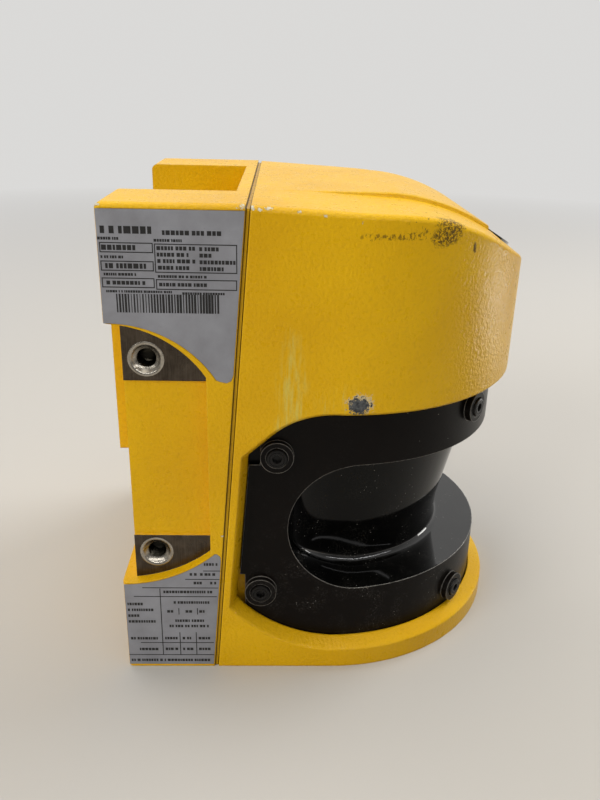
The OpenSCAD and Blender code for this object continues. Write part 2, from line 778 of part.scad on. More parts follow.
module laser_holder() color(alloy) on_axis(lens_z + lens_t) {
    tube(lens_r, lens_r - 3, 4);
    tube(laser_r + 3, laser_r + 0.01, 6);
    for (a = [90:120:330]) rotate([0, 0, a]) translate([laser_r + 2, -1.5, 0])
        cube([lens_r - laser_r - 4, 3, 4]);
}

module laser_module() color(brass) on_axis(lens_z - 2) difference() {
    union() {
        cylinder(r = laser_r, h = 26);
        translate([0, 0, 18]) cylinder(r = laser_r + 1.5, h = 8);
    }
    translate([0, 0, -1]) cylinder(r = 3, h = 16);
}

module laser_board() color(board_green) on_axis(lens_z + 24) {
    cylinder(r = 10, h = board_t);
    translate([0, 0, board_t]) cylinder(r = 2.8, h = 2.4);
}

hood_h = 28;
module receiver_hood() color("#1c1c1c") on_axis(frame_z + frame_t) rotate_extrude() polygon([
    [lens_r + 1, 0], [barrel_r + 5, 0], [barrel_r + 5, 2], [barrel_r, 2], [12, hood_h - 2], [12, hood_h],
    [6, hood_h], [6, hood_h - 2], [10, hood_h - 2], [lens_r + 1, 2]]);

module receiver_board() color(board_green) on_axis(frame_z + frame_t + hood_h) {
    translate([-24, -18, 0]) cube([48, 36, board_t]);
    translate([-18, -10, board_t]) cube([12, 12, 1.4]);
    translate([4, -6, board_t]) cube([8, 10, 2]);
    translate([-14, 8, board_t]) cube([24, 5, 5]);
}

module photodiode() color(brass) on_axis(frame_z + frame_t + hood_h) mirror([0, 0, 1]) {
    cylinder(r = 4.6, h = 0.6);
    cylinder(r = 4.1, h = 4);
}

// ---- mirror drive ----

tube_r = 8;
bearing_r = 5.5;
bearing_w = 4;
bearing_z = [floor_z + 6, floor_z + 20];
tube_top = floor_z + 26;
bell_r = 20;
bell_t = 2;
stator_r = 17;
bell_top = tube_top + 4;
disc_r = 26;
disc_t = 0.8;

module motor_base() color(alloy) on_axis(floor_z) difference() {
    union() {
        cylinder(r = 29, h = 3);
        cylinder(r = tube_r, h = tube_top - floor_z);
    }
    translate([0, 0, 3]) cylinder(r = bearing_r + 0.02, h = far);
    for (a = [45:90:315]) rotate([0, 0, a]) translate([25, 0, -1]) cylinder(r = 1.7, h = 5);
}

module motor_bearings() color(steel) for (z = bearing_z) on_axis(z)
    difference() {
        tube(bearing_r, shaft_d / 2 + shaft_play, bearing_w);
        // raceway gaps between the two rings and their shields
        for (h = [-1, bearing_w - 0.4]) translate([0, 0, h]) tube(4.6, 3.6, 1.4);
    }

stator_z = tube_top - 18;
stator_h = 10;
tooth_w = 4.4;
coil_w = 0.9;
module motor_stator() color("#6d6f73") on_axis(stator_z) {
    tube(tube_r + 3, tube_r + 0.05, stator_h);
    for (i = [0:stator_teeth - 1]) rotate([0, 0, i * 360 / stator_teeth])
        translate([tube_r + 2, -tooth_w / 2, 0]) cube([stator_r - tube_r - 3, tooth_w, stator_h]);
    difference() {
        tube(stator_r, stator_r - 1.8, stator_h);
        for (i = [0:stator_teeth - 1]) rotate([0, 0, (i + 0.5) * 360 / stator_teeth])
            translate([tube_r, -0.7, -1]) cube([20, 1.4, stator_h + 2]);
    }
}

module motor_coils() color(copper) on_axis(stator_z) for (i = [0:stator_teeth - 1])
    rotate([0, 0, i * 360 / stator_teeth]) translate([tube_r + 3.3, 0, 0]) difference() {
        translate([0, -tooth_w / 2 - coil_w, -coil_w])
            cube([3.4, tooth_w + 2 * coil_w, stator_h + 2 * coil_w]);
        translate([-1, -tooth_w / 2 - eps, -eps])
            cube([6, tooth_w + 2 * eps, stator_h + 2 * eps]);
    }

module rotor_shaft() color(steel) on_axis(floor_z + 4.2) union() {
    cylinder(r = shaft_d / 2, h = bell_top + 6 - floor_z - 4.2);
}

module motor_rotor() color("#4a4c50") on_axis(0) {
    translate([0, 0, tube_top - 20]) tube(bell_r, bell_r - bell_t, bell_top - tube_top + 20);
    translate([0, 0, bell_top - 3]) tube(bell_r - 1, shaft_d / 2 + 0.01, 3);
}

module encoder_disc() color("#c8ccd0") on_axis(bell_top) difference() {
    tube(disc_r, shaft_d / 2 + 0.01, disc_t);
    for (i = [0:encoder_slots - 1]) rotate([0, 0, i * 360 / encoder_slots])
        translate([disc_r - 4, -0.9, -1]) cube([3, 1.8, 3]);
}

// Wedge between the mirror's two 45 degree planes, or all below the lower one
module below_mirror(down) on_axis(scan_z) rotate([45, 0, 0]) translate([-far / 2, -far / 2, -far - down])
    cube(far);

module mirror_mount() color(alloy) difference() {
    intersection() {
        on_axis(bell_top + disc_t) cylinder(r = mirror_r - 1, h = far);
        below_mirror(mirror_t);
    }
    on_axis(0) cylinder(r = shaft_d / 2 + 0.01, h = bell_top + 8);
    // lightening bores from behind, as [across, up, how far behind the axis]
    for (b = [[-8, 9, 0], [8, 9, 0], [0, 24, 6]]) on_axis(bell_top + b[1])
        translate([b[0], b[2], 0]) rotate([-90, 0, 0]) cylinder(r = 5, h = far);
}

module scan_mirror() color("#dfe6ea") intersection() {
    on_axis(0) cylinder(r = mirror_r, h = far);
    difference() {
        below_mirror(0);
        below_mirror(mirror_t);
    }
}

fork_y = axis_y + disc_r + 5;
module encoder_fork() color("#262626") difference() {
    translate([-5, axis_y + bell_r + 1.4, bell_top - 4.5]) cube([10, fork_y - axis_y - bell_r - 1.4, 10]);
    translate([-6, axis_y, bell_top - 1]) cube([12, disc_r + 1, disc_t + 2]);
}
module encoder_board() color(board_green) translate([-11, fork_y, floor_z])
    cube([22, board_t, bell_top + 6 - floor_z]);

// ---- electronics in the head ----

board_back = 10;
board_post_x = 44;
board_low = 62;
board_high = body_h - 15;
board_post_z = [board_low + 6, board_high - 6];
module processor_board() color(board_green) seam_frame()
    translate([-50, -board_back - board_t, board_low]) cube([100, board_t, board_high - board_low]);
module processor_chips() color("#202224") seam_frame() for (c = [[-30, 140, 22, 2], [4, 142, 16, 2],
        [26, 118, 14, 1.6], [-34, 104, 16, 1.6], [-6, 126, 12, 3]])
    translate([c[0], -board_back - board_t - c[3], c[1]]) cube([c[2], c[3], c[2]]);

link_w = 38;
link_h = 9;
link_z = 76;
module link_connector() color("#2b2b2b") seam_frame() translate([-link_w / 2, -board_back, link_z])
    cube([link_w, board_back + io_front, link_h]);

// Flat cable under the roof, from the display board to the processor board
cable_t = 0.5;
function turned(at, angle, p) = at
    + [p[0] * cos(angle) - p[1] * sin(angle), p[0] * sin(angle) + p[1] * cos(angle)];
cable_start = turned([slope_y, slope_z], display_slope,
    [panel_board_w / 2 + 0.3, panel_board_top - board_t / 2]);
cable_end = turned([seam_y, 0], joint_lean, [-board_back - board_t / 2, board_high + cable_t + 0.05]);
cable_ctrl = [cable_start, cable_start + [16, 13], cable_end + [-14, 9], cable_end];
function bezier(p, t) = pow(1 - t, 3) * p[0] + 3 * t * pow(1 - t, 2) * p[1]
    + 3 * t * t * (1 - t) * p[2] + pow(t, 3) * p[3];
cable_pts = [for (i = [0:16]) bezier(cable_ctrl, i / 16)];
module flex_cable() color("#d9d4c4") across(-9, 9) polygon(concat(cable_pts,
    [for (i = [16:-1:0]) cable_pts[i] - [0, cable_t]]));

// ---- electronics in the module ----

io_front = 10;
io_post_x = 48;
post_r = 3.5;                     // board posts cast into the housings
io_post_z = [24, 80];
io_w = 104;
module io_board() color(board_green) seam_frame() translate([-io_w / 2, io_front, 9])
    cube([io_w, board_t, 76]);
module io_relays() color("#dfe0da") seam_frame() for (x = [-36, -10, 16])
    translate([x, io_front + board_t, 24]) cube([20, 12, 28]);
module io_capacitors() color("#3b4a63") seam_frame() for (x = [-26, -12, 2, 16, 30])
    translate([x, io_front + board_t, 66]) rotate([-90, 0, 0]) cylinder(r = 5, h = 13);

socket_w = 62;
socket_d = 13;
socket_y = rear_y - 25;
socket_low = 87;
socket_top = bay_floor + 11;
pins = 15;
pin_pitch = 3.4;
pin_row = 2.1;                    // half the distance between the two rows
pin_r = 0.5;
pin_h = 8.4;
module plug_socket() color("#1e1e1e") translate([0, socket_y, 0]) difference() {
    union() {
        translate([-socket_w / 2, -socket_d / 2, socket_low])
            cube([socket_w, socket_d, socket_top - socket_low]);
        translate([0, 0, bay_floor]) linear_extrude(2.5) rounded(socket_w + 12, socket_d + 7, 3);
    }
    translate([0, 0, bay_floor + 3]) linear_extrude(far) rounded(socket_w - 4, socket_d - 4, 1.5);
    translate([0, 0, bay_floor - 2]) pin_rows();
}
module pin_rows() for (i = [0:pins - 1], j = [-1, 1])
    translate([(i - (pins - 1) / 2) * pin_pitch, j * pin_row, 0]) cylinder(r = pin_r, h = pin_h, $fn = 24);
module socket_pins() color(brass) translate([0, socket_y, bay_floor - 2]) pin_rows();

// ---- thread bushes and plates ----

lead_in = 0.4;                    // shallow step round each thread's mouth
module thread_bushes() color(steel) for (s = [-1, 1], z = [m8_low_z, m8_low_z + m8_pitch])
    translate([s * (pad_x - bush_l), rear_y - m8_back, z]) rotate([0, s * 90, 0]) difference() {
        cylinder(r = bush_r, h = bush_l);
        translate([0, 0, bush_l - m8_deep]) cylinder(r = m8_core_d / 2, h = m8_deep + 1);
        translate([0, 0, bush_l - lead_in]) cylinder(r = m8_core_d / 2 + 1.1, h = 1);
    }

plate_pocket = 0.3;
plate_t = 0.25;
plate_gap = 2;                    // margin between a plate and the joint
plate_rear = rear_y - 0.6;

// Outlines in (Y, Z), grown by g
module rating_outline(g) difference() {
    polygon([[plate_rear + g, body_h - 2 + g], [seam_at(body_h) + plate_gap - g, body_h - 2 + g],
        [seam_at(127) + plate_gap - g, 127], [seam_at(125) + plate_gap + 0.6 - g, 125 - 0.7 * g],
        [seam_at(124) + plate_gap + 2, 124.1 - g], [seam_at(125) + plate_gap + 4.4, 124.6 - g],
        [recess_front + 1, 127 - g], [plate_rear + g, 127 - g]]);
    translate(high_curve - [2, 1.3]) circle(high_curve_r + 1.5 - g, $fn = 120);
}
module data_outline(g) difference() {
    polygon([[plate_rear + g, 1 - g], [seam_at(1) + plate_gap - g, 1 - g],
        [seam_at(50) + plate_gap - g, 50.5], [seam_at(52) + plate_gap + 0.3 - g, 52.5 + 0.7 * g],
        [seam_at(54) + plate_gap + 1.7, 53.7 + g], [seam_at(54) + plate_gap + 3.4, 53.6 + g],
        [plate_rear + g, 53.6 + g]]);
    translate(low_curve) circle(low_curve_r + 0.6 - g, $fn = 120);
}
module rating_plate() color("#9a9ca4")
    across(-nose_r + plate_pocket - plate_t, -nose_r + plate_pocket) rating_outline(0);
module data_plate() color("#9a9ca4")
    across(-nose_r + plate_pocket - plate_t, -nose_r + plate_pocket) data_outline(0);

sensor_housing();
module_housing();
module_gasket();
module_screws();
optics_cover();
cover_gasket();
foot_gasket();
cover_screws();
display_window();
display_board();
digit_display();
status_leds();
config_connector();
config_cap();
optics_frame();
frame_screws();
receiver_lens();
laser_holder();
laser_module();
laser_board();
receiver_hood();
receiver_board();
photodiode();
processor_board();
processor_chips();
link_connector();
flex_cable();
motor_base();
motor_bearings();
motor_stator();
motor_coils();
encoder_board();
encoder_fork();
rotor_shaft();
motor_rotor();
encoder_disc();
mirror_mount();
scan_mirror();
io_board();
io_relays();
io_capacitors();
plug_socket();
socket_pins();
thread_bushes();
rating_plate();
data_plate();
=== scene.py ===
import bpy, bmesh, json, math, random
from functools import partial
from mathutils import Vector, Matrix


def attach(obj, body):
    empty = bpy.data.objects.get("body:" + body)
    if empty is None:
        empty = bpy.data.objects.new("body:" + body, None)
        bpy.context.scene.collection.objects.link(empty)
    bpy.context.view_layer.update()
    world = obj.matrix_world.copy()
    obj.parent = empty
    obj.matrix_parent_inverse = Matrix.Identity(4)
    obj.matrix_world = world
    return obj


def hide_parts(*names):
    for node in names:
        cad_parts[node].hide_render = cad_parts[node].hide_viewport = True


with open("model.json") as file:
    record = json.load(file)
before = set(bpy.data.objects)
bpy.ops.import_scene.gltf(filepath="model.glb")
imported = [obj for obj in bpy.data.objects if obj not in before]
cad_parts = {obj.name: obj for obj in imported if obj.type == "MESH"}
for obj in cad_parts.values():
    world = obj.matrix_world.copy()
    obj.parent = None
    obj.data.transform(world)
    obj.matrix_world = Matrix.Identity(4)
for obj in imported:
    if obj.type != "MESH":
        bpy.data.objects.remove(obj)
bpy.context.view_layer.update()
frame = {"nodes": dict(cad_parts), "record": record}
nodes = frame["nodes"]
mm = 0.001
noseY = -2.5                                     # centre line of the round nose, in mm


def linear(hexColour):                           # sRGB hex to linear light
    parts = [int(hexColour[i:i + 2], 16) / 255 for i in (1, 3, 5)]
    return tuple(c / 12.92 if c <= 0.04045 else ((c + 0.055) / 1.055) ** 2.4 for c in parts) + (1.0,)


def addNode(tree, kind, inputs=(), out=0, **settings):      # sets or links its inputs, and gives one output
    node = tree.nodes.new(kind)
    for name, value in settings.items():
        setattr(node, name, value)
    for name, value in inputs.items() if isinstance(inputs, dict) else enumerate(inputs):
        if isinstance(value, bpy.types.NodeSocket):
            tree.links.new(value, node.inputs[name])
        else:
            node.inputs[name].default_value = value
    return node.outputs[out] if len(node.outputs) else None


def newMaterial(name):                           # an empty material, and addNode for its tree
    material = bpy.data.materials.new(name)
    material.use_nodes = True
    material.node_tree.nodes.clear()
    return material, partial(addNode, material.node_tree)


def newObject(name, data):
    thing = bpy.data.objects.new(name, data)
    bpy.context.scene.collection.objects.link(thing)
    return thing


def place(add, up=1):                            # the piece's own coordinates in mm, drawn out upwards where up < 1
    own = add("ShaderNodeTexCoord", out="Object")
    return add("ShaderNodeMapping", {"Vector": own, "Scale": (1000, 1000, 1000 * up)})


def patch(add, where, at, radius, soft, fray, wander, stretch, strength):
    # strength inside a ragged patch round a point in mm, 0 outside it
    off = add("ShaderNodeVectorMath", [where, at], operation="SUBTRACT")
    off = add("ShaderNodeVectorMath", [off, stretch], operation="MULTIPLY")
    away = add("ShaderNodeVectorMath", [off], "Value", operation="LENGTH")
    drift = add("ShaderNodeMath", [fray, 0.5], operation="SUBTRACT")
    away = add("ShaderNodeMath", [drift, radius * 3 * wander, away], operation="MULTIPLY_ADD")
    return add("ShaderNodeMapRange", [away, radius + soft, radius, 0.0, strength])


def allPast(add, *limits):                       # 1 where each value is past its limit, with a soft start
    inside = 1.0
    for value, (low, high) in limits:
        inside = add("ShaderNodeMapRange", [value, low, high, 0.0, inside])
    return inside


def edgeWearAndSheen(add, rounded, low, high):           # 1 on an outer edge, from how far the rounded normal turns
    face = add("ShaderNodeNewGeometry", out="Normal")
    along = add("ShaderNodeVectorMath", [face, rounded], "Value", operation="DOT_PRODUCT")
    return add("ShaderNodeMapRange", [along, low, high])


def layered(add, colour, *layers):               # (amount, strength, colour) over each other
    for amount, strength, over in layers:
        amount = add("ShaderNodeMath", [amount, strength], operation="MULTIPLY")
        over = linear(over) if isinstance(over, str) else over
        colour = add("ShaderNodeMix", {0: amount, 6: colour, 7: over}, 2, data_type="RGBA")
    return colour


def finishShader(add, colour, rough, bump, settings):      # the shader with its plain settings, and the output
    shader = {"Base Color": colour, "Roughness": rough, "Normal": bump, **settings}
    add("ShaderNodeOutputMaterial", [add("ShaderNodeBsdfPrincipled", shader)])


paintLook = {
    # edge is a lighter yellow on outer edges: partly wear, partly a painted highlight
    "colour": "#e6b50b", "shade": "#dba80a", "grime": "#a8790f", "edge": "#efc348", "rub": "#cdd67c",
    # the groove colour on this next line is painted shade for the joint's corners
    "dirt": "#48330e", "primer": "#d3cbb2", "core": ("#33363a", "#5f6163"), "grooveDirt": "#3a2708",
    "bare": ("#3a332c", "#564d43", "#6f665b"), "rough": 0.3, "rounded": 0.0009, "peelDeep": 0.0003,
    "noise": {
        # name: (grain in mm, detail, roughness, drawn out upwards)
        "broad": (45, 3, 0.5, 1), "wide": (6.5, 4, 0.65, 1), "fine": (5, 4, 0.6, 1), "ragged": (2.2, 4, 0.7, 1),
        "peel": (1.25, 2.5, 0.55, 1), "jagged": (1.1, 3, 0.75, 1), "flecks": (0.8, 4, 0.8, 1),
        "streaks": (1.3, 3, 0.7, 0.1), "smears": (1.2, 3, 0.7, 0.6), "milled": (0.5, 3, 0.7, 0.05),
    },
    "broken": {
        # what breaks a mark up: (noise, from, to, strength)
        "streaked": ("streaks", 0.42, 0.66, 1.0), "faint": ("streaks", 0.5, 0.68, 0.7),
        "flecked": ("flecks", 0.46, 0.51, 1.0), "sparse": ("ragged", 0.6, 0.66, 0.8),
        "smeared": ("smears", 0.5, 0.56, 0.75),
    },
    "marks": {
        # kind: (middle in mm, radius, soft edge, noise that frays it, wander, stretch, strength or break-up)
        "rub": [((-77.5, 15.5, 119), 3.4, 2.8, "wide", 0.45, (0.2, 1, 0.24), "streaked"),
                ((-77.5, 18.6, 107), 1.8, 1.8, "wide", 0.6, (0.2, 1, 0.5), "streaked"),
                ((-77.5, -3.5, 116.8), 3.4, 3.6, "wide", 0.6, (0.3, 0.5, 0.9), "faint")],
        "dirt": [((-69.8, -36.3, 176.5), 4.4, 1.6, "wide", 0.55, (0.5, 0.95, 1.0), "flecked"),
                 ((-63.6, -46.8, 169.8), 0.45, 0.5, "jagged", 1.2, (0.6, 1.1, 0.42), 1.0),
                 ((-71.8, -32, 177.6), 6.0, 4, "wide", 1.0, (0.4, 0.62, 1.2), "sparse"),
                 ((-75.6, -19, 175.4), 1.3, 0.6, "wide", 0.9, (0.1, 0.13, 1.35), "smeared")],
        "rim": [((-77, -8.5, 116.4), 2.7, 0.5, "jagged", 0.8, (0.3, 0.66, 0.8), 0.75)],
        "core": [((-77, -8.3, 116.0), 2.3, 0.4, "jagged", 0.8, (0.3, 0.66, 0.8), 1.0)],
        "chips": [(at, radius, 0.2, "jagged", 2.2, (1, 0.75, 1.1), 1.0) for at, radius in (
            ((-76.4, 32.6, 184.1), 0.9), ((-76.7, 29.8, 184.2), 0.75), ((-76.9, 27.0, 183.7), 0.5),
            ((-76.4, 24.4, 184.2), 0.7), ((-76.6, 14.2, 182.9), 0.5), ((-77, 6, 181.8), 0.35),
            ((-76.9, -6, 180.1), 0.35), ((-73.9, -25.5, 181.3), 0.4), ((-71.5, -31.0, 180.6), 0.3),
            ((-76.8, 79, 184.2), 0.55), ((-77, 78.6, 92), 0.35), ((-76.6, 79.2, 61), 0.35),
            ((-77.4, 40.9, 62), 0.35))],
    },
    # groove round the joint, painted darker in both its corners as shade: its plane in mm and degrees, its middle and
    # half width behind that, and where it starts below the roof and inside the walls
    "groove": {"y": 43.4, "lean": 4.2, "middle": 0.8, "half": 0.66, "soft": (0.3, 0.14),
               "roof": (184.8, 184.5), "wall": (77.4, 77.25)},
    # the machined boss faces, which look sideways, carry no paint: between these in x, behind this y
    "boss": {"from": (72.9, 72.94), "to": (73.1, 73.06), "behind": (44, 44.2), "facing": (0.9, 0.95)},
}


def yellowPaint():
    # Powder coat on die-cast aluminium, sprayed and baked: coarse orange peel, half gloss, knocked off
    # down to pale primer and grey metal at exposed corners, its outer edges painted lighter, partly as wear and partly
    # as a painted highlight
    material, add = newMaterial("powderCoatYellow")
    look = paintLook
    where = {up: place(add, up) for up in (1, 0.6, 0.1, 0.05)}
    noise = {name: add("ShaderNodeTexNoise", {"Vector": where[up], "Scale": 1 / size, "Detail": detail,
                                              "Roughness": grit})
             for name, (size, detail, grit, up) in look["noise"].items()}
    broken = {name: add("ShaderNodeMapRange", [noise[grain], low, high, 0.0, strength])
              for name, (grain, low, high, strength) in look["broken"].items()}
    marks = {}
    for name, places in look["marks"].items():
        for at, radius, soft, fray, wander, stretch, strength in places:
            one = patch(add, where[1], at, radius, soft, noise[fray], wander, stretch, broken.get(strength, strength))
            marks[name] = add("ShaderNodeMath", [marks[name], one], operation="MAXIMUM") if name in marks else one
    rounded = add("ShaderNodeBevel", {"Radius": look["rounded"]}, samples=6)
    across, back, up = add("ShaderNodeSeparateXYZ", [where[1]]).node.outputs
    across = add("ShaderNodeMath", [across], operation="ABSOLUTE")
    joint = look["groove"]
    lean = math.radians(joint["lean"])
    plane = (0, math.cos(lean), math.sin(lean))
    corner = add("ShaderNodeVectorMath", [where[1], plane], "Value", operation="DOT_PRODUCT")
    for middle in (joint["y"] * math.cos(lean) + joint["middle"], joint["half"]):
        corner = add("ShaderNodeMath", [corner, middle], operation="SUBTRACT")
        corner = add("ShaderNodeMath", [corner], operation="ABSOLUTE")
    # painted shade: the two corners of the joint's groove darkened
    groove = allPast(add, (up, joint["roof"]), (across, joint["wall"]), (corner, joint["soft"]))
    facing = add("ShaderNodeSeparateXYZ", [add("ShaderNodeNewGeometry", out="True Normal")])
    facing = add("ShaderNodeMath", [facing], operation="ABSOLUTE")
    boss = look["boss"]
    bare = allPast(add, (across, boss["from"]), (across, boss["to"]), (back, boss["behind"]), (facing, boss["facing"]))
    metal = layered(add, linear(look["bare"][0]),
                    (add("ShaderNodeMapRange", [noise["wide"], 0.3, 0.72]), 1.0, look["bare"][1]),
                    (add("ShaderNodeMapRange", [noise["milled"], 0.45, 0.7]), 0.3, look["bare"][2]))
    core = layered(add, linear(look["core"][0]),
                   (add("ShaderNodeMapRange", [noise["ragged"], 0.4, 0.6]), 1.0, look["core"][1]))
    # outer edges painted lighter: partly wear, partly a painted highlight
    wornAndSheen = add("ShaderNodeMapRange", [noise["wide"], 0.42, 0.7])
    wornAndSheen = add("ShaderNodeMath", [wornAndSheen, edgeWearAndSheen(add, rounded, 0.985, 0.86)], operation="MULTIPLY")
    primer = add("ShaderNodeMath", [marks["rim"], marks["chips"]], operation="MAXIMUM")
    colour = layered(add, linear(look["shade"]),
                     (add("ShaderNodeMapRange", [noise["broad"], 0.32, 0.68]), 1.0, look["colour"]),
                     (add("ShaderNodeMapRange", [noise["peel"], 0.25, 0.5, 0.16, 0.0]), 1.0, look["grime"]),
                     (wornAndSheen, 0.5, look["edge"]), (marks["rub"], 0.4, look["rub"]), (marks["dirt"], 0.9, look["dirt"]),
                     (primer, 1.0, look["primer"]), (marks["core"], 1.0, core),
                     (groove, 0.85, look["grooveDirt"]), (bare, 1.0, metal))
    rubbed = add("ShaderNodeMath", [marks["rub"], marks["dirt"]], operation="MAXIMUM")
    rough = add("ShaderNodeMapRange", [noise["fine"], 0.3, 0.7, look["rough"] - 0.05, look["rough"] + 0.06])
    rough = add("ShaderNodeMath", [rubbed, 0.2, rough], operation="MULTIPLY_ADD")
    painted = add("ShaderNodeMath", [bare, -0.9, 1.0], operation="MULTIPLY_ADD")
    peel = add("ShaderNodeMath", [noise["peel"], painted], operation="MULTIPLY")
    missing = add("ShaderNodeMath", [marks["core"], marks["chips"]], operation="MAXIMUM")
    height = add("ShaderNodeMath", [missing, -0.5, peel], operation="MULTIPLY_ADD")
    metallic = add("ShaderNodeMath", [bare, 0.9], operation="MULTIPLY")
    bump = add("ShaderNodeBump", {"Height": height, "Distance": look["peelDeep"], "Normal": rounded})
    finishShader(add, colour, rough, bump, {"Metallic": metallic, "IOR": 1.45, "Specular IOR Level": 0.22})
    return material


shellLook = {
    # edge is a pale grey on rounded edges: partly rubbed wear, partly a painted highlight
    "dust": "#b5b1ab", "edge": "#b3afa9", "rounded": 0.0007,
    "dustCell": 1.3,                             # mm between specks, far coarser than real dust, so that it shows
    "dustFrom": (95, 30),                        # it thickens between these heights
    "noise": {
        # name: (grain in mm, detail, roughness)
        "broad": (30, 3, 0.5), "fall": (11, 3, 0.6), "wornAndSheen": (2.4, 3, 0.7), "ripple": (1.6, 2, 0.5),
        "haze": (0.8, 4, 0.8),
    },
    "finishes": {
        # name: (darkest, lightest, roughness, specular, ripple in m, dust, rubbed edges painted pale, partly as a
        # painted highlight)
        # outside, satin from the mould
        "satinPolycarbonate": ("#080504", "#0c0806", 0.3, 0.1, 0.00002, 1.0, 0.42),
        # recess that the beam leaves through, polished
        "polishedPolycarbonate": ("#040404", "#070706", 0.07, 0.13, 0.0000015, 1.0, 0.85),
        # its shelf, wiped until it is a black mirror
        "wipedPolycarbonate": ("#040404", "#070706", 0.035, 0.9, 0.000001, 0.8, 0.7),
    },
}


def darkShell(name, low, high, rough, specular, ripple, dusty, rubbed):
    # Moulded dark polycarbonate: near black and glossy, with dust and haze low down, and edges painted pale, partly as
    # rubbed wear and partly as a painted highlight
    material, add = newMaterial(name)
    look = shellLook
    where = place(add)
    noise = {grain: add("ShaderNodeTexNoise", {"Vector": where, "Scale": 1 / size, "Detail": detail,
                                               "Roughness": grit})
             for grain, (size, detail, grit) in look["noise"].items()}
    height = add("ShaderNodeSeparateXYZ", [where], "Z")
    cells = add("ShaderNodeTexVoronoi", {"Vector": where, "Scale": 1 / look["dustCell"]}).node.outputs
    lower = add("ShaderNodeMapRange", [height, *look["dustFrom"], 0.15, 1.0])
    fall = add("ShaderNodeMapRange", [noise["fall"], 0.46, 0.62, 0.0, lower])
    chance = add("ShaderNodeSeparateXYZ", [cells["Color"]])
    dust = add("ShaderNodeMath", [fall, 0.55], operation="MULTIPLY")
    dust = add("ShaderNodeMath", [chance, dust], operation="LESS_THAN")
    dust = add("ShaderNodeMapRange", [cells["Distance"], 0.15, 0.07, 0.0, dust])
    haze = add("ShaderNodeMapRange", [noise["haze"], 0.5, 0.75, 0.0, 0.16])
    haze = add("ShaderNodeMath", [fall, haze], operation="MULTIPLY")
    marks = add("ShaderNodeMath", [dust, haze], operation="MAXIMUM")
    marks = add("ShaderNodeMath", [marks, dusty], operation="MULTIPLY")
    rounded = add("ShaderNodeBevel", {"Radius": look["rounded"]}, samples=8)
    # rounded edges painted pale: partly rubbed wear, partly a painted highlight
    wornAndSheen = add("ShaderNodeMapRange", [noise["wornAndSheen"], 0.3, 0.55, 0.3, 1.0])
    wornAndSheen = add("ShaderNodeMath", [edgeWearAndSheen(add, rounded, 0.975, 0.9), wornAndSheen], operation="MULTIPLY")
    colour = layered(add, linear(low), (add("ShaderNodeMapRange", [noise["broad"], 0.35, 0.65]), 1.0, high),
                     (marks, 0.6, look["dust"]), (wornAndSheen, rubbed, look["edge"]))
    bump = add("ShaderNodeBump", {"Height": noise["ripple"], "Distance": ripple, "Normal": rounded})
    rough = add("ShaderNodeMath", [marks, 0.3, rough], operation="MULTIPLY_ADD")
    finishShader(add, colour, rough, bump, {"IOR": 1.5, "Specular IOR Level": specular})
    return material


def plainFinish(name, low, high, rough=0.5, metallic=0.0, grain=3.0, bump=0.00002, **shader):
    # two close colours in a fine grain, for small and inner pieces
    material, add = newMaterial(name)
    where = place(add)
    cloud, pits = (add("ShaderNodeTexNoise", {"Vector": where, "Scale": 1 / size, "Detail": detail,
                                              "Roughness": grit})
                   for size, detail, grit in ((grain, 3, 0.6), (grain / 4, 2, 0.5)))
    colour = layered(add, linear(low), (add("ShaderNodeMapRange", [cloud, 0.3, 0.7]), 1.0, high))
    rough = add("ShaderNodeMapRange", [cloud, 0.3, 0.7, max(rough - 0.05, 0.02), rough + 0.07])
    bump = add("ShaderNodeBump", {"Height": pits, "Distance": bump})
    finishShader(add, colour, rough, bump, {"Metallic": metallic, **shader})
    return material


def plateFoil():
    # Printed polyester film, silver grey: satin, faintly metallic, with finger grime
    material, add = newMaterial("greyFoil")
    where = place(add)
    grime, speck = (add("ShaderNodeTexNoise", {"Vector": where, "Scale": 1 / size, "Detail": detail,
                                               "Roughness": grit})
                    for size, detail, grit in ((13, 4, 0.6), (1, 3, 0.7)))
    colour = layered(add, linear("#85868d"), (add("ShaderNodeMapRange", [grime, 0.3, 0.75]), 1.0, "#989aa2"),
                     (add("ShaderNodeMapRange", [speck, 0.66, 0.74]), 0.3, "#625f5a"))
    rough = add("ShaderNodeMapRange", [grime, 0.3, 0.7, 0.36, 0.5])
    bump = add("ShaderNodeBump", {"Height": speck, "Distance": 0.00001})
    finishShader(add, colour, rough, bump, {"Metallic": 0.15, "Specular IOR Level": 0.4})
    return material


def turnedSteel():
    # Turned and zinc-plated steel: bright rings, with the thread darkened down the bore as painted shade
    material, add = newMaterial("turnedSteel")
    where = place(add)
    cloud, pits = (add("ShaderNodeTexNoise", {"Vector": where, "Scale": 1 / size, "Detail": detail,
                                              "Roughness": grit})
                   for size, detail, grit in ((4, 3, 0.6), (0.6, 2, 0.5)))
    across = add("ShaderNodeMath", [add("ShaderNodeSeparateXYZ", [where])], operation="ABSOLUTE")
    colour = layered(add, linear("#8f887d"), (add("ShaderNodeMapRange", [cloud, 0.3, 0.7]), 1.0, "#b5aea2"),
                     # darker past 1 mm down the bore: painted shade in the thread
                     (add("ShaderNodeMapRange", [across, 71.9, 71.0]), 1.0, "#35322b"))
    rough = add("ShaderNodeMapRange", [cloud, 0.3, 0.7, 0.2, 0.32])
    bump = add("ShaderNodeBump", {"Height": pits, "Distance": 0.000006})
    finishShader(add, colour, rough, bump, {"Metallic": 1.0})
    return material


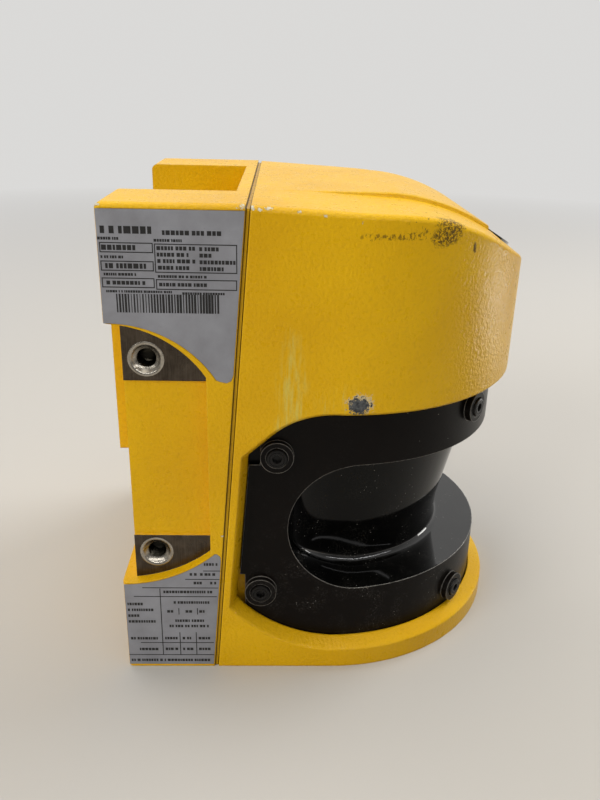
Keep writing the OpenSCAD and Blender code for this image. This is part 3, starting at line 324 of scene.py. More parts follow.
satin, polished, mirrorShelf = (darkShell(name, *look) for name, look in shellLook["finishes"].items())
finishes = {
    # slot: finish, with what it gives the eye
    "yellow_paint": yellowPaint(),
    "window_black": satin,
    "plate_film": plateFoil(),
    "bush_steel": turnedSteel(),
    # soft matt black, a little dusty
    "seal_rubber": plainFinish("mouldedRubber", "#0c0c0c", "#151515", 0.75, grain=2),
    # dull silver with fine pits
    "screw_steel": plainFinish("zincScrew", "#9a9a97", "#b6b6b3", 0.32, 1.0, 1.2),
    # near black, with a thin oily gloss
    "screw_black": plainFinish("blackOxide", "#080707", "#110f0e", 0.3, 0.0, 1.0, **{"Specular IOR Level": 0.25}),
    # dark clear pane, smooth enough to mirror
    "display_pane": plainFinish("smokedPane", "#0a0a0c", "#101013", 0.09, 0.0, 8.0, 0.000002, IOR=1.5),
    # green lacquer over copper, half gloss
    "board": plainFinish("solderMask", "#17502d", "#226b3f", 0.38, 0.0, 4.0),
    # dark brown-grey face, half gloss
    "digit": plainFinish("digitFace", "#2b2826", "#3a3633", 0.42),
    # milky clear resin
    "lamp": plainFinish("clearLens", "#c3c9bd", "#dadfd3", 0.15, 0.0, 5.0, 0.000002),
    # warm silver plating over brass
    "socket_metal": plainFinish("nickelShell", "#8d8b84", "#aaa79e", 0.28, 1.0, 1.4),
    # black, with the half gloss of the mould
    "cap_plastic": plainFinish("capPlastic", "#121212", "#1d1d1c", 0.42, grain=1.6),
    # pale grey cast skin, rough
    "cast_alloy": plainFinish("castAluminium", "#8f9194", "#b2b4b6", 0.45, 1.0, 1.8, 0.00004),
    # clear, faintly blue
    "lens_glass": plainFinish("lensGlass", "#cfe0e4", "#dcebee", 0.03, 0.0, 20.0, 0.000001,
                              **{"Transmission Weight": 0.9, "IOR": 1.52}),
    # yellow metal, half bright
    "brass": plainFinish("turnedBrass", "#a98238", "#c9a24f", 0.3, 1.0, 1.6),
    # dull black, moulded
    "black_plastic": plainFinish("blackNylon", "#141414", "#202020", 0.55, grain=1.6),
    # cream jacket, slightly waxy
    "flat_cable": plainFinish("cableJacket", "#c4bfae", "#d8d3c3", 0.5, grain=2.5),
    # blue-grey steel, dull at its cut edges
    "lamination": plainFinish("coreSteel", "#55565a", "#717277", 0.42, 1.0, 1.2),
    # glossy copper red wire
    "winding": plainFinish("enamelledCopper", "#96501f", "#c2702f", 0.28, 1.0, 0.7, 0.00006),
    # bright thin steel
    "disc_metal": plainFinish("etchedSteel", "#a2a4a8", "#c4c6c9", 0.2, 1.0, 4.0),
    # a mirror, silvered on its front
    "mirror_coat": plainFinish("frontSilver", "#d6d9da", "#e4e6e7", 0.03, 1.0, 30.0, 0.000001),
    # off-white case, a little grubby
    "relay_white": plainFinish("relayCase", "#c9c8bd", "#dcdbd1", 0.45, grain=3),
    # shrunk blue sleeve, glossy
    "capacitor": plainFinish("sleeveBlue", "#1d2c44", "#2b3d5c", 0.3, grain=4),
}
ink = plainFinish("printInk", "#121212", "#1c1b1d", 0.5, grain=1.5)      # flat black print
for part in frame["record"]["subparts"]:
    data = nodes[part["node"]].data
    data.materials.clear()
    data.materials.append(finishes[part["material_slot"]])
print("finishes ready")


def finishPiece(piece, slot, *replaced):
    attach(piece, "scanner")
    if replaced:
        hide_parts(*replaced)


# castings and cover, welded from the frame's own meshes

flatWithin = 0.4                                 # degrees between the triangles of one flat face
coverSharp = 28                                  # degrees past which the cover's edges stay sharp
shells = {
    # piece: (node, angle that stays sharp, slot)
    "head": ("sensor_housing", 32, "yellow_paint"),
    "module": ("module_housing", 30, "yellow_paint"),
    "cover": ("optics_cover", coverSharp, "window_black"),
}


def weldedCopy(name, node, angle, flat):         # flat joins the loose triangles of flat faces
    mesh = bmesh.new()
    mesh.from_mesh(nodes[node].data)
    mesh.transform(nodes[node].matrix_world)
    bmesh.ops.remove_doubles(mesh, verts=mesh.verts, dist=1e-5)
    if flat:
        bmesh.ops.dissolve_limit(mesh, angle_limit=math.radians(flatWithin), verts=mesh.verts, edges=mesh.edges)
    data = bpy.data.meshes.new(name)
    mesh.to_mesh(data)
    mesh.free()
    data.polygons.foreach_set("use_smooth", [True] * len(data.polygons))
    data.set_sharp_from_angle(angle=math.radians(angle))
    return newObject(name, data)


def evenNormals(data, angle):                    # each corner takes the faces round it that turn by less than an angle
    limit = math.cos(math.radians(angle))
    facing = [face.normal.copy() for face in data.polygons]
    weight = [face.area * 1e6 for face in data.polygons]
    around = [[] for _ in data.vertices]
    for face in data.polygons:
        for vert in face.vertices:
            around[vert].append(face.index)
    normals = []
    for face in data.polygons:
        own = facing[face.index]
        for vert in face.vertices:
            total = own * max(weight[face.index], 1e-6)
            for other in around[vert]:
                if other != face.index and facing[other].dot(own) > limit:
                    total = total + facing[other] * weight[other]
            normals.append(total.normalized() if total.length > 0 else own)
    return normals


# scan recess: its section as (radius, height), and how its round ends close, in mm

recess = {
    "section": [(75.0, 33.4), (54.8, 33.4), (53.3, 34.2), (52.6, 36.0), (52.6, 40.4), (53.2, 48.0), (62.3, 89.0),
                (75.0, 89.0)],
    # which way the section looks at each of its points, as (out, up)
    "bends": [(0, 1), (0, 1), (0.63, 0.77), (0.97, 0.25), (0.999, -0.04), (0.985, -0.17), (0.976, -0.217), (0, -1)],
    "shelfSegments": 3,                          # the shelf and its fillet, polished best
    # cover's outer radius; past endY the section closes into a round end about this height
    "outer": 71.0, "endY": -12.5, "endRadius": 28.5, "middle": 61.2, "endLimit": 0.97,
    # how far each way its ends ease into its middle, in how many steps, and where that fades out
    "blend": 11.0, "steps": 5, "blendOver": 24.2,
    # rounds on its rim and on the cover's other outer edges, where they turn by more than this, in radians
    "rimRound": 1.1, "rimTurn": 0.35, "edgeRound": 0.4, "edgeTurn": 0.9, "edgeBand": 0.1,
    "inside": 70.6, "band": (33, 90),            # a face is the recess's within this radius and between these heights
    "near": 0.12, "nearMiddle": 0.3, "lowest": 30,      # how near its section a face's corners and middle lie
    "skin": 0.03,                                # how near the round outer wall a corner lies
}


def recessSpot(x, y, z):                         # (segment, place on it, distance) of the section nearest a point
    past = (y - recess["endY"]) / recess["endRadius"]
    if past > recess["endLimit"]:
        return None
    flatten = math.sqrt(1 - max(past, 0) ** 2)
    back = noseY - recess["endY"]
    if past > 0:
        at = (recess["outer"] + (abs(x) - recess["outer"]) / flatten,
              recess["middle"] + (z - recess["middle"]) / flatten)
    else:
        at = (math.hypot(x, y - noseY), z)
    best = None
    for k in range(len(recess["section"]) - 1):
        (ax, az), (bx, bz) = recess["section"][k:k + 2]
        if past > 0:
            ax, bx = math.sqrt(ax * ax - back * back), math.sqrt(bx * bx - back * back)
        along = (bx - ax, bz - az)
        share = ((at[0] - ax) * along[0] + (at[1] - az) * along[1]) / (along[0] ** 2 + along[1] ** 2)
        share = min(max(share, 0), 1)
        off = math.hypot(at[0] - ax - share * along[0], at[1] - az - share * along[1]) * flatten
        if best is None or off < best[2]:
            best = (k, share, off)
    return best


def recessNormal(segment, share, y, side):       # normal of the recess there, its ends eased into its middle
    (ax, az), (bx, bz) = recess["section"][segment:segment + 2]
    radius, height = ax + (bx - ax) * share, az + (bz - az) * share
    first, last = recess["bends"][segment:segment + 2]
    if last[0] == 0:                             # the flat roof meets the cone at a corner
        first = last
    out, up = (first[0] + (last[0] - first[0]) * share, first[1] + (last[1] - first[1]) * share)
    reach = recess["blend"] / recess["steps"] * max(0, 1 - abs(y - recess["endY"]) / recess["blendOver"])
    total = Vector((0, 0, 0))
    for step in range(-recess["steps"], recess["steps"] + 1):
        there = y + step * reach
        past = min((there - recess["endY"]) / recess["endRadius"], recess["endLimit"] - 0.01)
        if past > 0:
            x = math.sqrt(radius * radius - (noseY - recess["endY"]) ** 2)
            flatten = math.sqrt(1 - past * past)
            drop = -past / flatten / recess["endRadius"]
            across = Vector((-up, 0, out))
            on = Vector(((x - recess["outer"]) * drop, 1, (height - recess["middle"]) * drop))
            normal = across.cross(on)
            if normal.dot(Vector((out, 0, up))) < 0:
                normal.negate()
        else:
            swing = max(min((there - noseY) / radius, 0), -1)
            normal = Vector((out * math.sqrt(1 - swing * swing), out * swing, up))
        total += normal.normalized() * (recess["steps"] + 1 - abs(step))
    total.x *= side
    return total.normalized()


def trueNormals(data):                           # the cover's surfaces shade as the smooth shapes they stand for
    normals = evenNormals(data, coverSharp)
    eased = 0
    for face in data.polygons:
        corners = [data.vertices[v].co / mm for v in face.vertices]
        reach = [math.hypot(c.x, min(c.y - noseY, 0)) for c in corners]
        if min(reach) > recess["outer"] - recess["skin"]:
            if max(reach) < recess["outer"] + recess["skin"]:
                for loop, c in zip(face.loop_indices, corners):
                    normals[loop] = Vector((c.x, min(c.y - noseY, 0), 0)).normalized()
            continue
        middle = recessSpot(*(sum(corners, Vector()) / len(corners)))
        spots = [recessSpot(*c) for c in corners]
        if middle is None or None in spots or min(c.z for c in corners) < recess["lowest"]:
            continue
        if max(s[2] for s in spots) > recess["near"] or middle[2] > recess["nearMiddle"]:
            continue
        side = 1 if face.center.x > 0 else -1
        true = []
        for c, (segment, share, _) in zip(corners, spots):
            share = share if segment == middle[0] else float(segment > middle[0])
            true.append(recessNormal(middle[0], share, c.y, side))
        if face.normal.dot(true[0]) > -0.2:      # the thin shell's inner wall looks the other way
            for loop, normal in zip(face.loop_indices, true):
                normals[loop] = normal
            eased += 1
    data.normals_split_custom_set(normals)
    print("recess normals on", eased, "faces")


def roundEdges(data):                            # small rounds on the recess's rim and the outer edges
    mesh = bmesh.new()
    mesh.from_mesh(data)
    shared = [edge for edge in mesh.edges if len(edge.link_faces) == 2]
    rim = []
    for edge in shared:
        looks = [face.material_index for face in edge.link_faces]
        if min(looks) == 0 < max(looks) and edge.calc_face_angle() > recess["rimTurn"]:
            rim.append(edge)
    bmesh.ops.bevel(mesh, geom=rim, offset=recess["rimRound"] * mm, offset_type="OFFSET", segments=3, profile=0.5,
                    affect="EDGES", clamp_overlap=True, material=2)
    outside = (recess["outer"] - recess["edgeBand"]) * mm
    outer = [edge for edge in mesh.edges if len(edge.link_faces) == 2 and edge.calc_face_angle() > recess["edgeTurn"]
             and not any(face.material_index for face in edge.link_faces)
             and all(max(abs(v.co.x), math.hypot(v.co.x, min(v.co.y - noseY * mm, 0))) > outside for v in edge.verts)]
    bmesh.ops.bevel(mesh, geom=outer, offset=recess["edgeRound"] * mm, offset_type="OFFSET", segments=2, profile=0.5,
                    affect="EDGES", clamp_overlap=True)
    print("recess rim,", len(rim), "edges, outside,", len(outer), "edges, open",
          sum(len(e.link_faces) != 2 for e in mesh.edges))
    mesh.to_mesh(data)
    mesh.free()
    data.polygons.foreach_set("use_smooth", [True] * len(data.polygons))
    data.set_sharp_from_angle(angle=math.radians(coverSharp))


def finishOf(face):                              # 0 satin outside, 1 polished recess, 2 its shelf
    x, y, z = face.center / mm
    low, high = recess["band"]
    outwards = Vector((x, min(y - noseY, 0), 0))
    inwards = face.normal.dot(outwards.normalized()) < -0.999      # the shell's own inner wall
    if outwards.length > recess["inside"] or not low < z < high or inwards:
        return 0
    on = recessSpot(x, y, z)
    return 2 if on and on[0] < recess["shelfSegments"] else 1


for name, (node, angle, slot) in shells.items():
    piece = weldedCopy(name, node, angle, name != "cover")
    piece.data.materials.append(finishes[slot])
    if name == "cover":
        piece.data.materials.append(polished)
        piece.data.materials.append(mirrorShelf)
        for face in piece.data.polygons:
            face.material_index = finishOf(face)
        roundEdges(piece.data)
        trueNormals(piece.data)
    else:
        piece.data.normals_split_custom_set(evenNormals(piece.data, angle))
    finishPiece(piece, slot, node)
    print("shell", name, len(piece.data.polygons), "faces")


# closed slabs in the cover's rear corners: the outline as (y, z), and how far in and out they reach, in mm

corners = {
    # black slabs above, a step below the cover's face, standing in for the shade in the notch there: painted shade
    "coverWebs": {"outline": [(25.6, 87.5), (31.45, 87.5), (31.45, 93.2), (25.6, 98.4)], "inner": 66.0, "outer": 69.0,
                  "round": 0.3, "slot": "window_black"},
    # seats below, in the casting behind the cover
    "coverSeats": {"outline": [(22.0, 13.0), (36.2, 13.0), (36.2, 41.0), (22.0, 41.0)], "inner": 58.0, "outer": 67.7,
                   "round": 0.3, "slot": "yellow_paint"},
}


def cornerSlabs(name, shape):                    # the same slab on both sides
    data = bpy.data.meshes.new(name)
    mesh = bmesh.new()
    for side in (-1, 1):
        low = [mesh.verts.new((side * shape["inner"] * mm, y * mm, z * mm)) for y, z in shape["outline"]]
        high = [mesh.verts.new((side * shape["outer"] * mm, y * mm, z * mm)) for y, z in shape["outline"]]
        mesh.faces.new(low)
        mesh.faces.new(high)
        for i in range(4):
            mesh.faces.new((low[i], low[(i + 1) % 4], high[(i + 1) % 4], high[i]))
    bmesh.ops.recalc_face_normals(mesh, faces=mesh.faces)
    bmesh.ops.bevel(mesh, geom=mesh.edges[:], offset=shape["round"] * mm, segments=2, profile=0.5, affect="EDGES")
    mesh.to_mesh(data)
    mesh.free()
    data.materials.append(finishes[shape["slot"]])
    return newObject(name, data)


for name, shape in corners.items():
    finishPiece(cornerSlabs(name, shape), shape["slot"])


# turned parts, made once and set out by one tree

segments = 48
turnedSharp = 28                                 # degrees


def turned(name, profile, hexAt=()):             # spins (radius, height) pairs in mm round Z
    verts, faces, rings = [], [], []
    for k, (r, z) in enumerate(profile):
        if r == 0:
            rings.append([len(verts)])
            verts.append((0, 0, z * mm))
            continue
        ring = []
        for i in range(segments):
            a = 2 * math.pi * i / segments
            wide = r / math.cos((a + math.pi / 6) % (math.pi / 3) - math.pi / 6) if k in hexAt else r
            ring.append(len(verts))
            verts.append((wide * math.cos(a) * mm, wide * math.sin(a) * mm, z * mm))
        rings.append(ring)
    for low, high in zip(rings, rings[1:]):
        for i in range(segments):
            j = (i + 1) % segments
            if len(low) == 1:
                faces.append((low[0], high[j], high[i]))
            elif len(high) == 1:
                faces.append((low[i], low[j], high[0]))
            else:
                faces.append((low[i], low[j], high[j], high[i]))
    data = bpy.data.meshes.new(name)
    data.from_pydata(verts, [], faces)
    data.validate()
    mesh = bmesh.new()
    mesh.from_mesh(data)
    bmesh.ops.recalc_face_normals(mesh, faces=mesh.faces)
    mesh.to_mesh(data)
    mesh.free()
    data.polygons.foreach_set("use_smooth", [True] * len(data.polygons))
    data.set_sharp_from_angle(angle=math.radians(turnedSharp))
    return data


def islands(node):                               # the solids of a node: their points in mm
    mesh = bmesh.new()
    mesh.from_mesh(nodes[node].data)
    mesh.transform(nodes[node].matrix_world)
    bmesh.ops.remove_doubles(mesh, verts=mesh.verts, dist=1e-5)
    left, found = set(mesh.verts), []
    for first in mesh.verts:                     # in their own order, so that every run adds up alike
        if first not in left:
            continue
        left.remove(first)
        stack, group = [first], []
        while stack:
            vert = stack.pop()
            group.append(vert.co / mm)
            for edge in vert.link_edges:
                other = edge.other_vert(vert)
                if other in left:
                    left.remove(other)
                    stack.append(other)
        found.append(group)
    mesh.free()
    return sorted(found, key=lambda g: tuple(round(v, 1) for v in sum(g, Vector()) / len(g)))


def treeInputs(tree, wanted):                    # names the inputs of a tree, and returns their identifiers
    tree.interface.new_socket("Geometry", in_out="OUTPUT", socket_type="NodeSocketGeometry")
    tree.interface.new_socket("Geometry", in_out="INPUT", socket_type="NodeSocketGeometry")
    return {name: tree.interface.new_socket(name, in_out="INPUT", socket_type="NodeSocket" + kind).identifier
            for name, kind in wanted.items()}


def finishTree(tree, geometry, material):
    real = addNode(tree, "GeometryNodeRealizeInstances", [geometry])
    dressed = addNode(tree, "GeometryNodeSetMaterial", {"Geometry": real, "Material": material})
    addNode(tree, "NodeGroupOutput", [dressed])


def grow(name, tree, ids, values, points=((0, 0, 0),), turns=None):     # runs a tree once, and keeps a plain mesh
    data = bpy.data.meshes.new(name + "Points")
    data.from_pydata([tuple(p) for p in points], [], [])
    if turns:
        attribute = data.attributes.new("turn", "FLOAT_VECTOR", "POINT")
        attribute.data.foreach_set("vector", [v for t in turns for v in t])
    seed = newObject(name + "Points", data)
    live = seed.modifiers.new(name, "NODES")
    live.node_group = tree
    for key, value in values.items():
        live[ids[key]] = value
    seed.update_tag()
    ready = seed.evaluated_get(bpy.context.evaluated_depsgraph_get())
    grown = newObject(name, bpy.data.meshes.new_from_object(ready))
    seed.modifiers.remove(live)
    bpy.data.objects.remove(seed)
    return grown


def setOutTree(name, material):                  # an object on every point, turned as the point says
    tree = bpy.data.node_groups.new(name, "GeometryNodeTree")
    ids = treeInputs(tree, {"Part": "Object", "Size": "Float"})
    start = addNode(tree, "NodeGroupInput").node.outputs
    part = addNode(tree, "GeometryNodeObjectInfo", {"Object": start["Part"]}, "Geometry")
    turn = addNode(tree, "GeometryNodeInputNamedAttribute", {"Name": "turn"}, data_type="FLOAT_VECTOR")
    put = addNode(tree, "GeometryNodeInstanceOnPoints", {"Points": start["Geometry"], "Instance": part,
                                                         "Rotation": turn, "Scale": start["Size"]})
    finishTree(tree, put, material)
    return tree, ids


def setOut(name, node, profile, slot, axisOf, hexAt=()):     # one turned part on each solid of a node
    spots, turns = [], []
    for group in islands(node):
        middle = sum(group, Vector()) / len(group)
        axis = axisOf(group, middle)
        top = max(p.dot(axis) for p in group)
        spots.append((middle + axis * (top - middle.dot(axis))) * mm)
        turns.append(tuple(axis.to_track_quat("Z", "Y").to_euler()))
    model = newObject(name + "Model", turned(name, profile, hexAt))
    tree, ids = setOutTree(name + "SetOut", finishes[slot])
    piece = grow(name, tree, ids, {"Part": model, "Size": 1.0}, spots, turns)
    bpy.data.objects.remove(model)
    finishPiece(piece, slot, node)


def headAxis(group, middle):                     # out of the cover, square to its flat side or to its nose
    y = middle.y - noseY
    return Vector((middle.x, min(y, 0) if y < -30 else 0, 0)).normalized()


screwHead = {
    # (radius, height) from the head's face inwards, in mm
    "profile": [(0, -1.9), (1.45, -1.7), (1.5, -0.35), (1.75, -0.05), (2.2, 0.0), (2.55, -0.02), (2.65, -0.22),
                (2.8, -0.22), (2.9, -0.02), (3.35, -0.02), (3.62, -0.14), (3.76, -0.42), (3.8, -0.9), (3.8, -3.35),
                (3.7, -3.4), (1.95, -3.4), (1.95, -15.0), (1.5, -15.4), (0, -15.4)],
    "hexAt": {1, 2},                             # these points are the flats of its socket
}
setOut("coverScrews", "cover_screws", screwHead["profile"], "screw_black", headAxis, screwHead["hexAt"])

bush = {
    # (radius, height) from the module's face inwards, in mm
    "outside": [(0, -12), (5.7, -12), (6, -11.7), (6, 0.01), (6.38, 0.01), (6.42, 0.05), (6.25, 0.14), (5.75, 0.14),
                (5.45, 0.0), (5.25, -0.12), (4.9, -0.5), (4.25, -1.15)],
    "thread": [(3.45, -0.35), (3.45, -0.5), (3.98, -0.9), (3.98, -1.0)],
    "start": -1.3, "pitch": 1.25, "turns": 6,
    "bottom": [(3.4, -9.0), (0, -10.6)],
}
bushProfile = bush["outside"] + [(radius, bush["start"] - k * bush["pitch"] + height)
                                 for k in range(bush["turns"]) for radius, height in bush["thread"]] + bush["bottom"]
setOut("threadBushes", "thread_bushes", bushProfile, "bush_steel",
       lambda group, middle: Vector((math.copysign(1, middle.x), 0, 0)))
print("screws and bushes set out")


# print on the two plates, in (Y, Z) mm

printing = {
    "face": -77.45, "thick": 0.035, "sunk": 0.01, "line": 0.34, "seed": 4,
    "clear": 0.01,                               # keeps a box's upright lines off its level ones
    # strokes, as shares of a row's height, and how often a word ends
    "narrow": 0.45, "wide": 1.0, "gap": 0.2, "wordGap": 0.6, "wordEnds": 0.16, "least": 0.6,
    "boxes": [(61.7, 169.2, 78.6, 172.2), (61.7, 163.2, 78.6, 166.2), (61.7, 157.6, 78.6, 160.6),
              (34.5, 162.8, 61.0, 172.0), (34.6, 157.1, 60.9, 160.3)],
    "rules": [(42.1, 46.2, 48.4, 46.2), (42.5, 42.3, 55.4, 42.3), (43.1, 38.3, 72.2, 38.3), (43.7, 34.2, 75.7, 34.2),
              (45.3, 11.8, 74.2, 11.8), (45.3, 5.7, 79.2, 5.7), (65.6, 5.9, 65.6, 37.7), (58.6, 25.8, 58.6, 28.5),
              (51.3, 25.8, 51.3, 28.5), (58.6, 5.9, 58.6, 16.7), (52.1, 5.9, 52.1, 16.7)],
    # rows of print: (y from, y to, middle z, height)
    "rows": [(61.5, 78.2, 176.4, 2.4), (39.4, 58.4, 175.7, 1.5), (71.8, 79.2, 173.6, 0.9), (51.6, 61.2, 173.2, 0.9),
             (67.2, 78.2, 170.7, 1.7), (70.5, 78.6, 167.6, 0.9), (63.4, 77.3, 164.7, 1.7), (67.0, 78.0, 161.9, 0.9),
             (43.8, 60.4, 161.4, 0.9), (64.6, 77.3, 159.1, 1.3), (43.8, 60.1, 158.7, 1.2), (47.6, 60.4, 170.7, 1.3),
             (40.3, 46.6, 170.6, 1.3), (50.0, 60.4, 168.6, 1.3), (42.4, 46.6, 168.5, 1.3), (48.0, 60.3, 166.5, 1.3),
             (34.9, 46.6, 166.3, 1.3), (50.0, 60.2, 164.3, 1.3), (38.3, 46.6, 164.1, 1.3), (55.5, 77.6, 156.2, 0.8),
             (38.6, 52.6, 155.8, 0.8), (43.0, 48.2, 49.2, 1.2), (43.3, 49.8, 44.6, 1.2), (50.6, 53.8, 44.6, 1.2),
             (43.3, 46.0, 40.6, 1.2), (48.0, 52.4, 40.6, 1.2), (44.5, 64.3, 36.4, 1.2), (46.5, 60.5, 31.4, 1.2),
             (47.8, 50.6, 27.1, 1.2), (53.4, 56.0, 27.1, 1.2), (60.4, 63.2, 27.1, 1.2), (48.8, 60.2, 22.6, 1.2),
             (47.0, 62.6, 20.0, 1.2), (46.2, 51.2, 14.0, 1.2), (52.9, 57.6, 14.0, 1.2), (59.6, 64.6, 14.0, 1.2),
             (46.2, 51.2, 8.6, 1.2), (52.9, 57.6, 8.6, 1.2), (59.6, 64.6, 8.6, 1.2), (67.0, 78.2, 13.9, 1.2),
             (66.5, 75.0, 8.5, 1.2), (72.6, 78.6, 30.6, 1.2), (68.6, 78.6, 27.8, 1.2), (74.0, 78.6, 25.0, 1.2),
             (68.0, 78.6, 22.2, 1.2), (46.2, 78.6, 3.0, 1.2)],
}


def slabs(name, strips, material):               # thin closed blocks on the plates' faces
    verts, faces = [], []
    for y0, z0, y1, z1 in strips:
        k = len(verts)
        for x in (printing["face"] + printing["sunk"], printing["face"] - printing["thick"]):
            verts += [(x * mm, y * mm, z * mm) for y, z in ((y0, z0), (y1, z0), (y1, z1), (y0, z1))]
        faces += [(k, k + 1, k + 2, k + 3), (k + 7, k + 6, k + 5, k + 4)]
        faces += [(k + i, k + 4 + i, k + 4 + (i + 1) % 4, k + (i + 1) % 4) for i in range(4)]
    data = bpy.data.meshes.new(name)
    data.from_pydata(verts, [], faces)
    mesh = bmesh.new()
    mesh.from_mesh(data)
    bmesh.ops.recalc_face_normals(mesh, faces=mesh.faces)
    mesh.to_mesh(data)
    mesh.free()
    data.materials.append(material)
    return newObject(name, data)


half = printing["line"] / 2
inside = half + printing["clear"]
strips = [(y0 - half, z0 - half, y1 + half, z1 + half) for y0, z0, y1, z1 in printing["rules"]]
for y0, z0, y1, z1 in printing["boxes"]:
    strips += [(y0 - half, z0 - half, y1 + half, z0 + half), (y0 - half, z1 - half, y1 + half, z1 + half),
               (y0 - half, z0 + inside, y0 + half, z1 - inside), (y1 - half, z0 + inside, y1 + half, z1 - inside)]
dice = random.Random(printing["seed"])
for y0, y1, z, high in printing["rows"]:         # broken strokes stand for print
    y = y1
    while y > y0 + printing["least"]:
        wide = min(dice.uniform(printing["narrow"], printing["wide"]) * high, y - y0)
        strips.append((y - wide, z - high / 2, y, z + high / 2))
        y -= wide + high * printing["wordGap" if dice.random() < printing["wordEnds"] else "gap"]
finishPiece(slabs("platePrint", strips, ink), "plate_film")

bars = {"Count": 36, "Length": 0.0344, "Wide": 0.00066, "High": 0.0064, "Thick": 0.00004,
        "From": Vector((-0.07746, 0.0408, 0.1522)), "Narrowest": 0.3, "Widest": 1.4, "Seed": 11}     # in metres


def barTree(material):                           # upright bars of uneven width in a row
    tree = bpy.data.node_groups.new("barRow", "GeometryNodeTree")
    ids = treeInputs(tree, {"Count": "Int", "Length": "Float", "Wide": "Float", "High": "Float", "Thick": "Float",
                            "From": "Vector", "Narrowest": "Float", "Widest": "Float", "Seed": "Int"})
    start = addNode(tree, "NodeGroupInput").node.outputs
    step = addNode(tree, "ShaderNodeMath", [start["Length"], start["Count"]], operation="DIVIDE")
    step = addNode(tree, "ShaderNodeCombineXYZ", {"Y": step})
    row = addNode(tree, "GeometryNodeMeshLine", {"Count": start["Count"], "Start Location": start["From"],
                                                 "Offset": step})
    size = addNode(tree, "ShaderNodeCombineXYZ", [start["Thick"], start["Wide"], start["High"]])
    bar = addNode(tree, "GeometryNodeMeshCube", {"Size": size})
    narrowest, widest = 2, 3                     # this node's own inputs for plain numbers
    uneven = addNode(tree, "FunctionNodeRandomValue", {narrowest: start["Narrowest"], widest: start["Widest"],
                                                       "Seed": start["Seed"]}, 1, data_type="FLOAT")
    size = addNode(tree, "ShaderNodeCombineXYZ", [1.0, uneven, 1.0])
    put = addNode(tree, "GeometryNodeInstanceOnPoints", {"Points": row, "Instance": bar, "Scale": size})
    finishTree(tree, put, material)
    return tree, ids


barRow, barIds = barTree(ink)
finishPiece(grow("plateBars", barRow, barIds, bars), "plate_film")
print("print on the plates")


# camera, lamps and floor

shot = {"at": (-0.3260, 0.0209, 0.2208), "yaw": -1.88, "pitch": 22.44, "roll": 1.38, "lens": 34.43}    # m, degrees, mm
lamps = {
    # name: (place, aim, width, height, watts, colour, where its light shows)
    "overhead": ((0.05, 0.10, 1.30), (0.0, 0.0, 0.08), 1.3, 1.3, 11.6, "#fffdf6", "all"),
    "cameraSide": ((-0.98, 1.02, 0.80), (0.0, 0.0, 0.09), 0.9, 0.9, 12.6, "#fffaf0", "matt"),
    "edgeStrip": ((-1.10, -0.05, 1.05), (-0.07, -0.02, 0.05), 4.4, 0.07, 15.0, "#ffffff", "gloss"),
    "noseSide": ((0.07, -0.40, 0.06), (-0.052, -0.06, 0.145), 0.1, 0.08, 0.2, "#fffdf8", "gloss"),
    "noseHigh": ((0.55, -1.00, 0.95), (0.0, -0.05, 0.05), 0.8, 0.8, 13.5, "#fffdf8", "matt"),
    "rear": ((0.7, 0.9, 0.7), (0.0, 0.0, 0.1), 0.9, 0.9, 3.5, "#f6f8ff", "matt"),
}
backdrop = {
    "colour": "#f1f0ee", "floor": "#bdbab6",
    "world": 0.25,                               # light from all round
    "seen": 0.80, "near": 0.25,                  # what the camera sees, and gloss mirrors on the camera's side
    "fade": (350, 1500), "size": 4.0,            # the floor fades out between these mm, and is this many m each way
}


def makeCamera():
    data = bpy.data.cameras.new("camera")
    data.lens, data.sensor_width, data.clip_start = shot["lens"], 36, 0.01
    camera = newObject("camera", data)
    yaw, pitch, roll = (math.radians(shot[k]) for k in ("yaw", "pitch", "roll"))
    ahead = Vector((math.cos(yaw) * math.cos(pitch), math.sin(yaw) * math.cos(pitch), -math.sin(pitch)))
    right = ahead.cross(Vector((0, 0, 1))).normalized()
    up = right.cross(ahead)
    axes = (math.cos(roll) * right + math.sin(roll) * up, math.cos(roll) * up - math.sin(roll) * right, -ahead)
    camera.matrix_world = Matrix.Translation(shot["at"]) @ Matrix(axes).transposed().to_4x4()
    bpy.context.scene.camera = camera


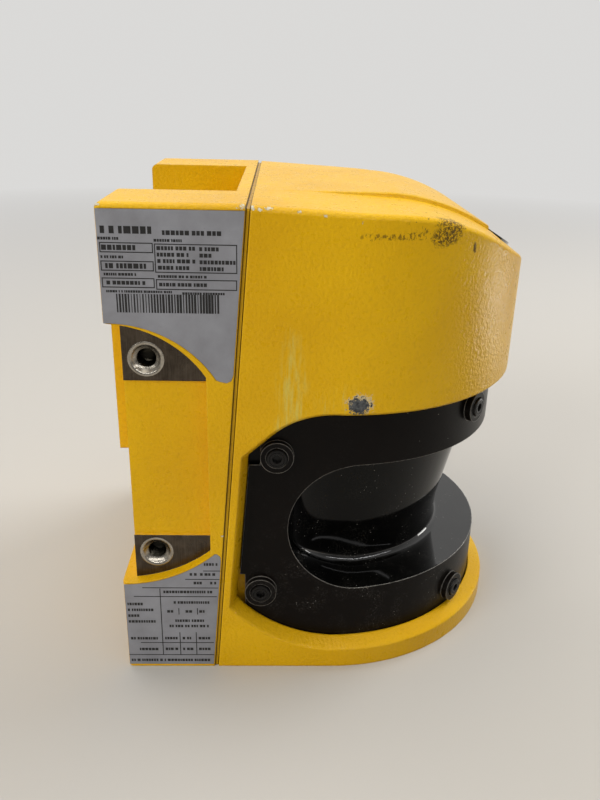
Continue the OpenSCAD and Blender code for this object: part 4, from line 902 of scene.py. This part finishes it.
def makeLamps():
    for name, (at, aim, wide, high, watts, colour, shows) in lamps.items():
        data = bpy.data.lights.new(name, "AREA")
        data.shape, data.size, data.size_y = "RECTANGLE", wide, high
        data.energy, data.color = watts, linear(colour)[:3]
        lamp = newObject(name, data)
        lamp.location = at
        lamp.rotation_euler = (Vector(aim) - Vector(at)).to_track_quat("-Z", "Y").to_euler()
        lamp.visible_camera = False
        lamp.visible_glossy = shows != "matt"
        lamp.visible_diffuse = shows != "gloss"
    world = bpy.data.worlds.new("studio")
    bpy.context.scene.world = world
    world.use_nodes = True
    world.node_tree.nodes.clear()
    add = partial(addNode, world.node_tree)
    sight = add("ShaderNodeLightPath").node.outputs
    seen = add("ShaderNodeMath", [sight["Is Camera Ray"], sight["Is Transmission Ray"]], operation="MAXIMUM")
    across = add("ShaderNodeSeparateXYZ", [add("ShaderNodeTexCoord", out="Generated")])
    mirrored = add("ShaderNodeMapRange", [across, -0.7, 0.5, backdrop["near"], backdrop["seen"]])
    level = add("ShaderNodeMapRange", [seen, 0.0, 1.0, backdrop["world"], backdrop["seen"]])
    level = add("ShaderNodeMix", {0: sight["Is Glossy Ray"], 2: level, 3: mirrored}, data_type="FLOAT")
    add("ShaderNodeOutputWorld", [add("ShaderNodeBackground", [linear(backdrop["colour"]), level])])


def makeFloor():                                 # a pale floor that fades into the backdrop
    material, add = newMaterial("studioFloor")
    matt = add("ShaderNodeBsdfPrincipled", {"Base Color": linear(backdrop["floor"]), "Roughness": 0.9,
                                            "Specular IOR Level": 0.0})
    away = add("ShaderNodeVectorMath", [place(add)], "Value", operation="LENGTH")
    fade = add("ShaderNodeMapRange", [away, *backdrop["fade"], 0.0, add("ShaderNodeLightPath", out="Is Camera Ray")])
    glow = add("ShaderNodeEmission", [linear(backdrop["colour"]), backdrop["seen"]])
    add("ShaderNodeOutputMaterial", [add("ShaderNodeMixShader", [fade, matt, glow])])
    size = backdrop["size"]
    data = bpy.data.meshes.new("floor")
    data.from_pydata([(-size, -size, 0), (size, -size, 0), (size, size, 0), (-size, size, 0)], [], [(0, 1, 2, 3)])
    data.materials.append(material)
    newObject("floor", data)


makeCamera()
makeLamps()
makeFloor()
bpy.context.scene.view_settings.view_transform = "Standard"
print("camera, lamps and floor")
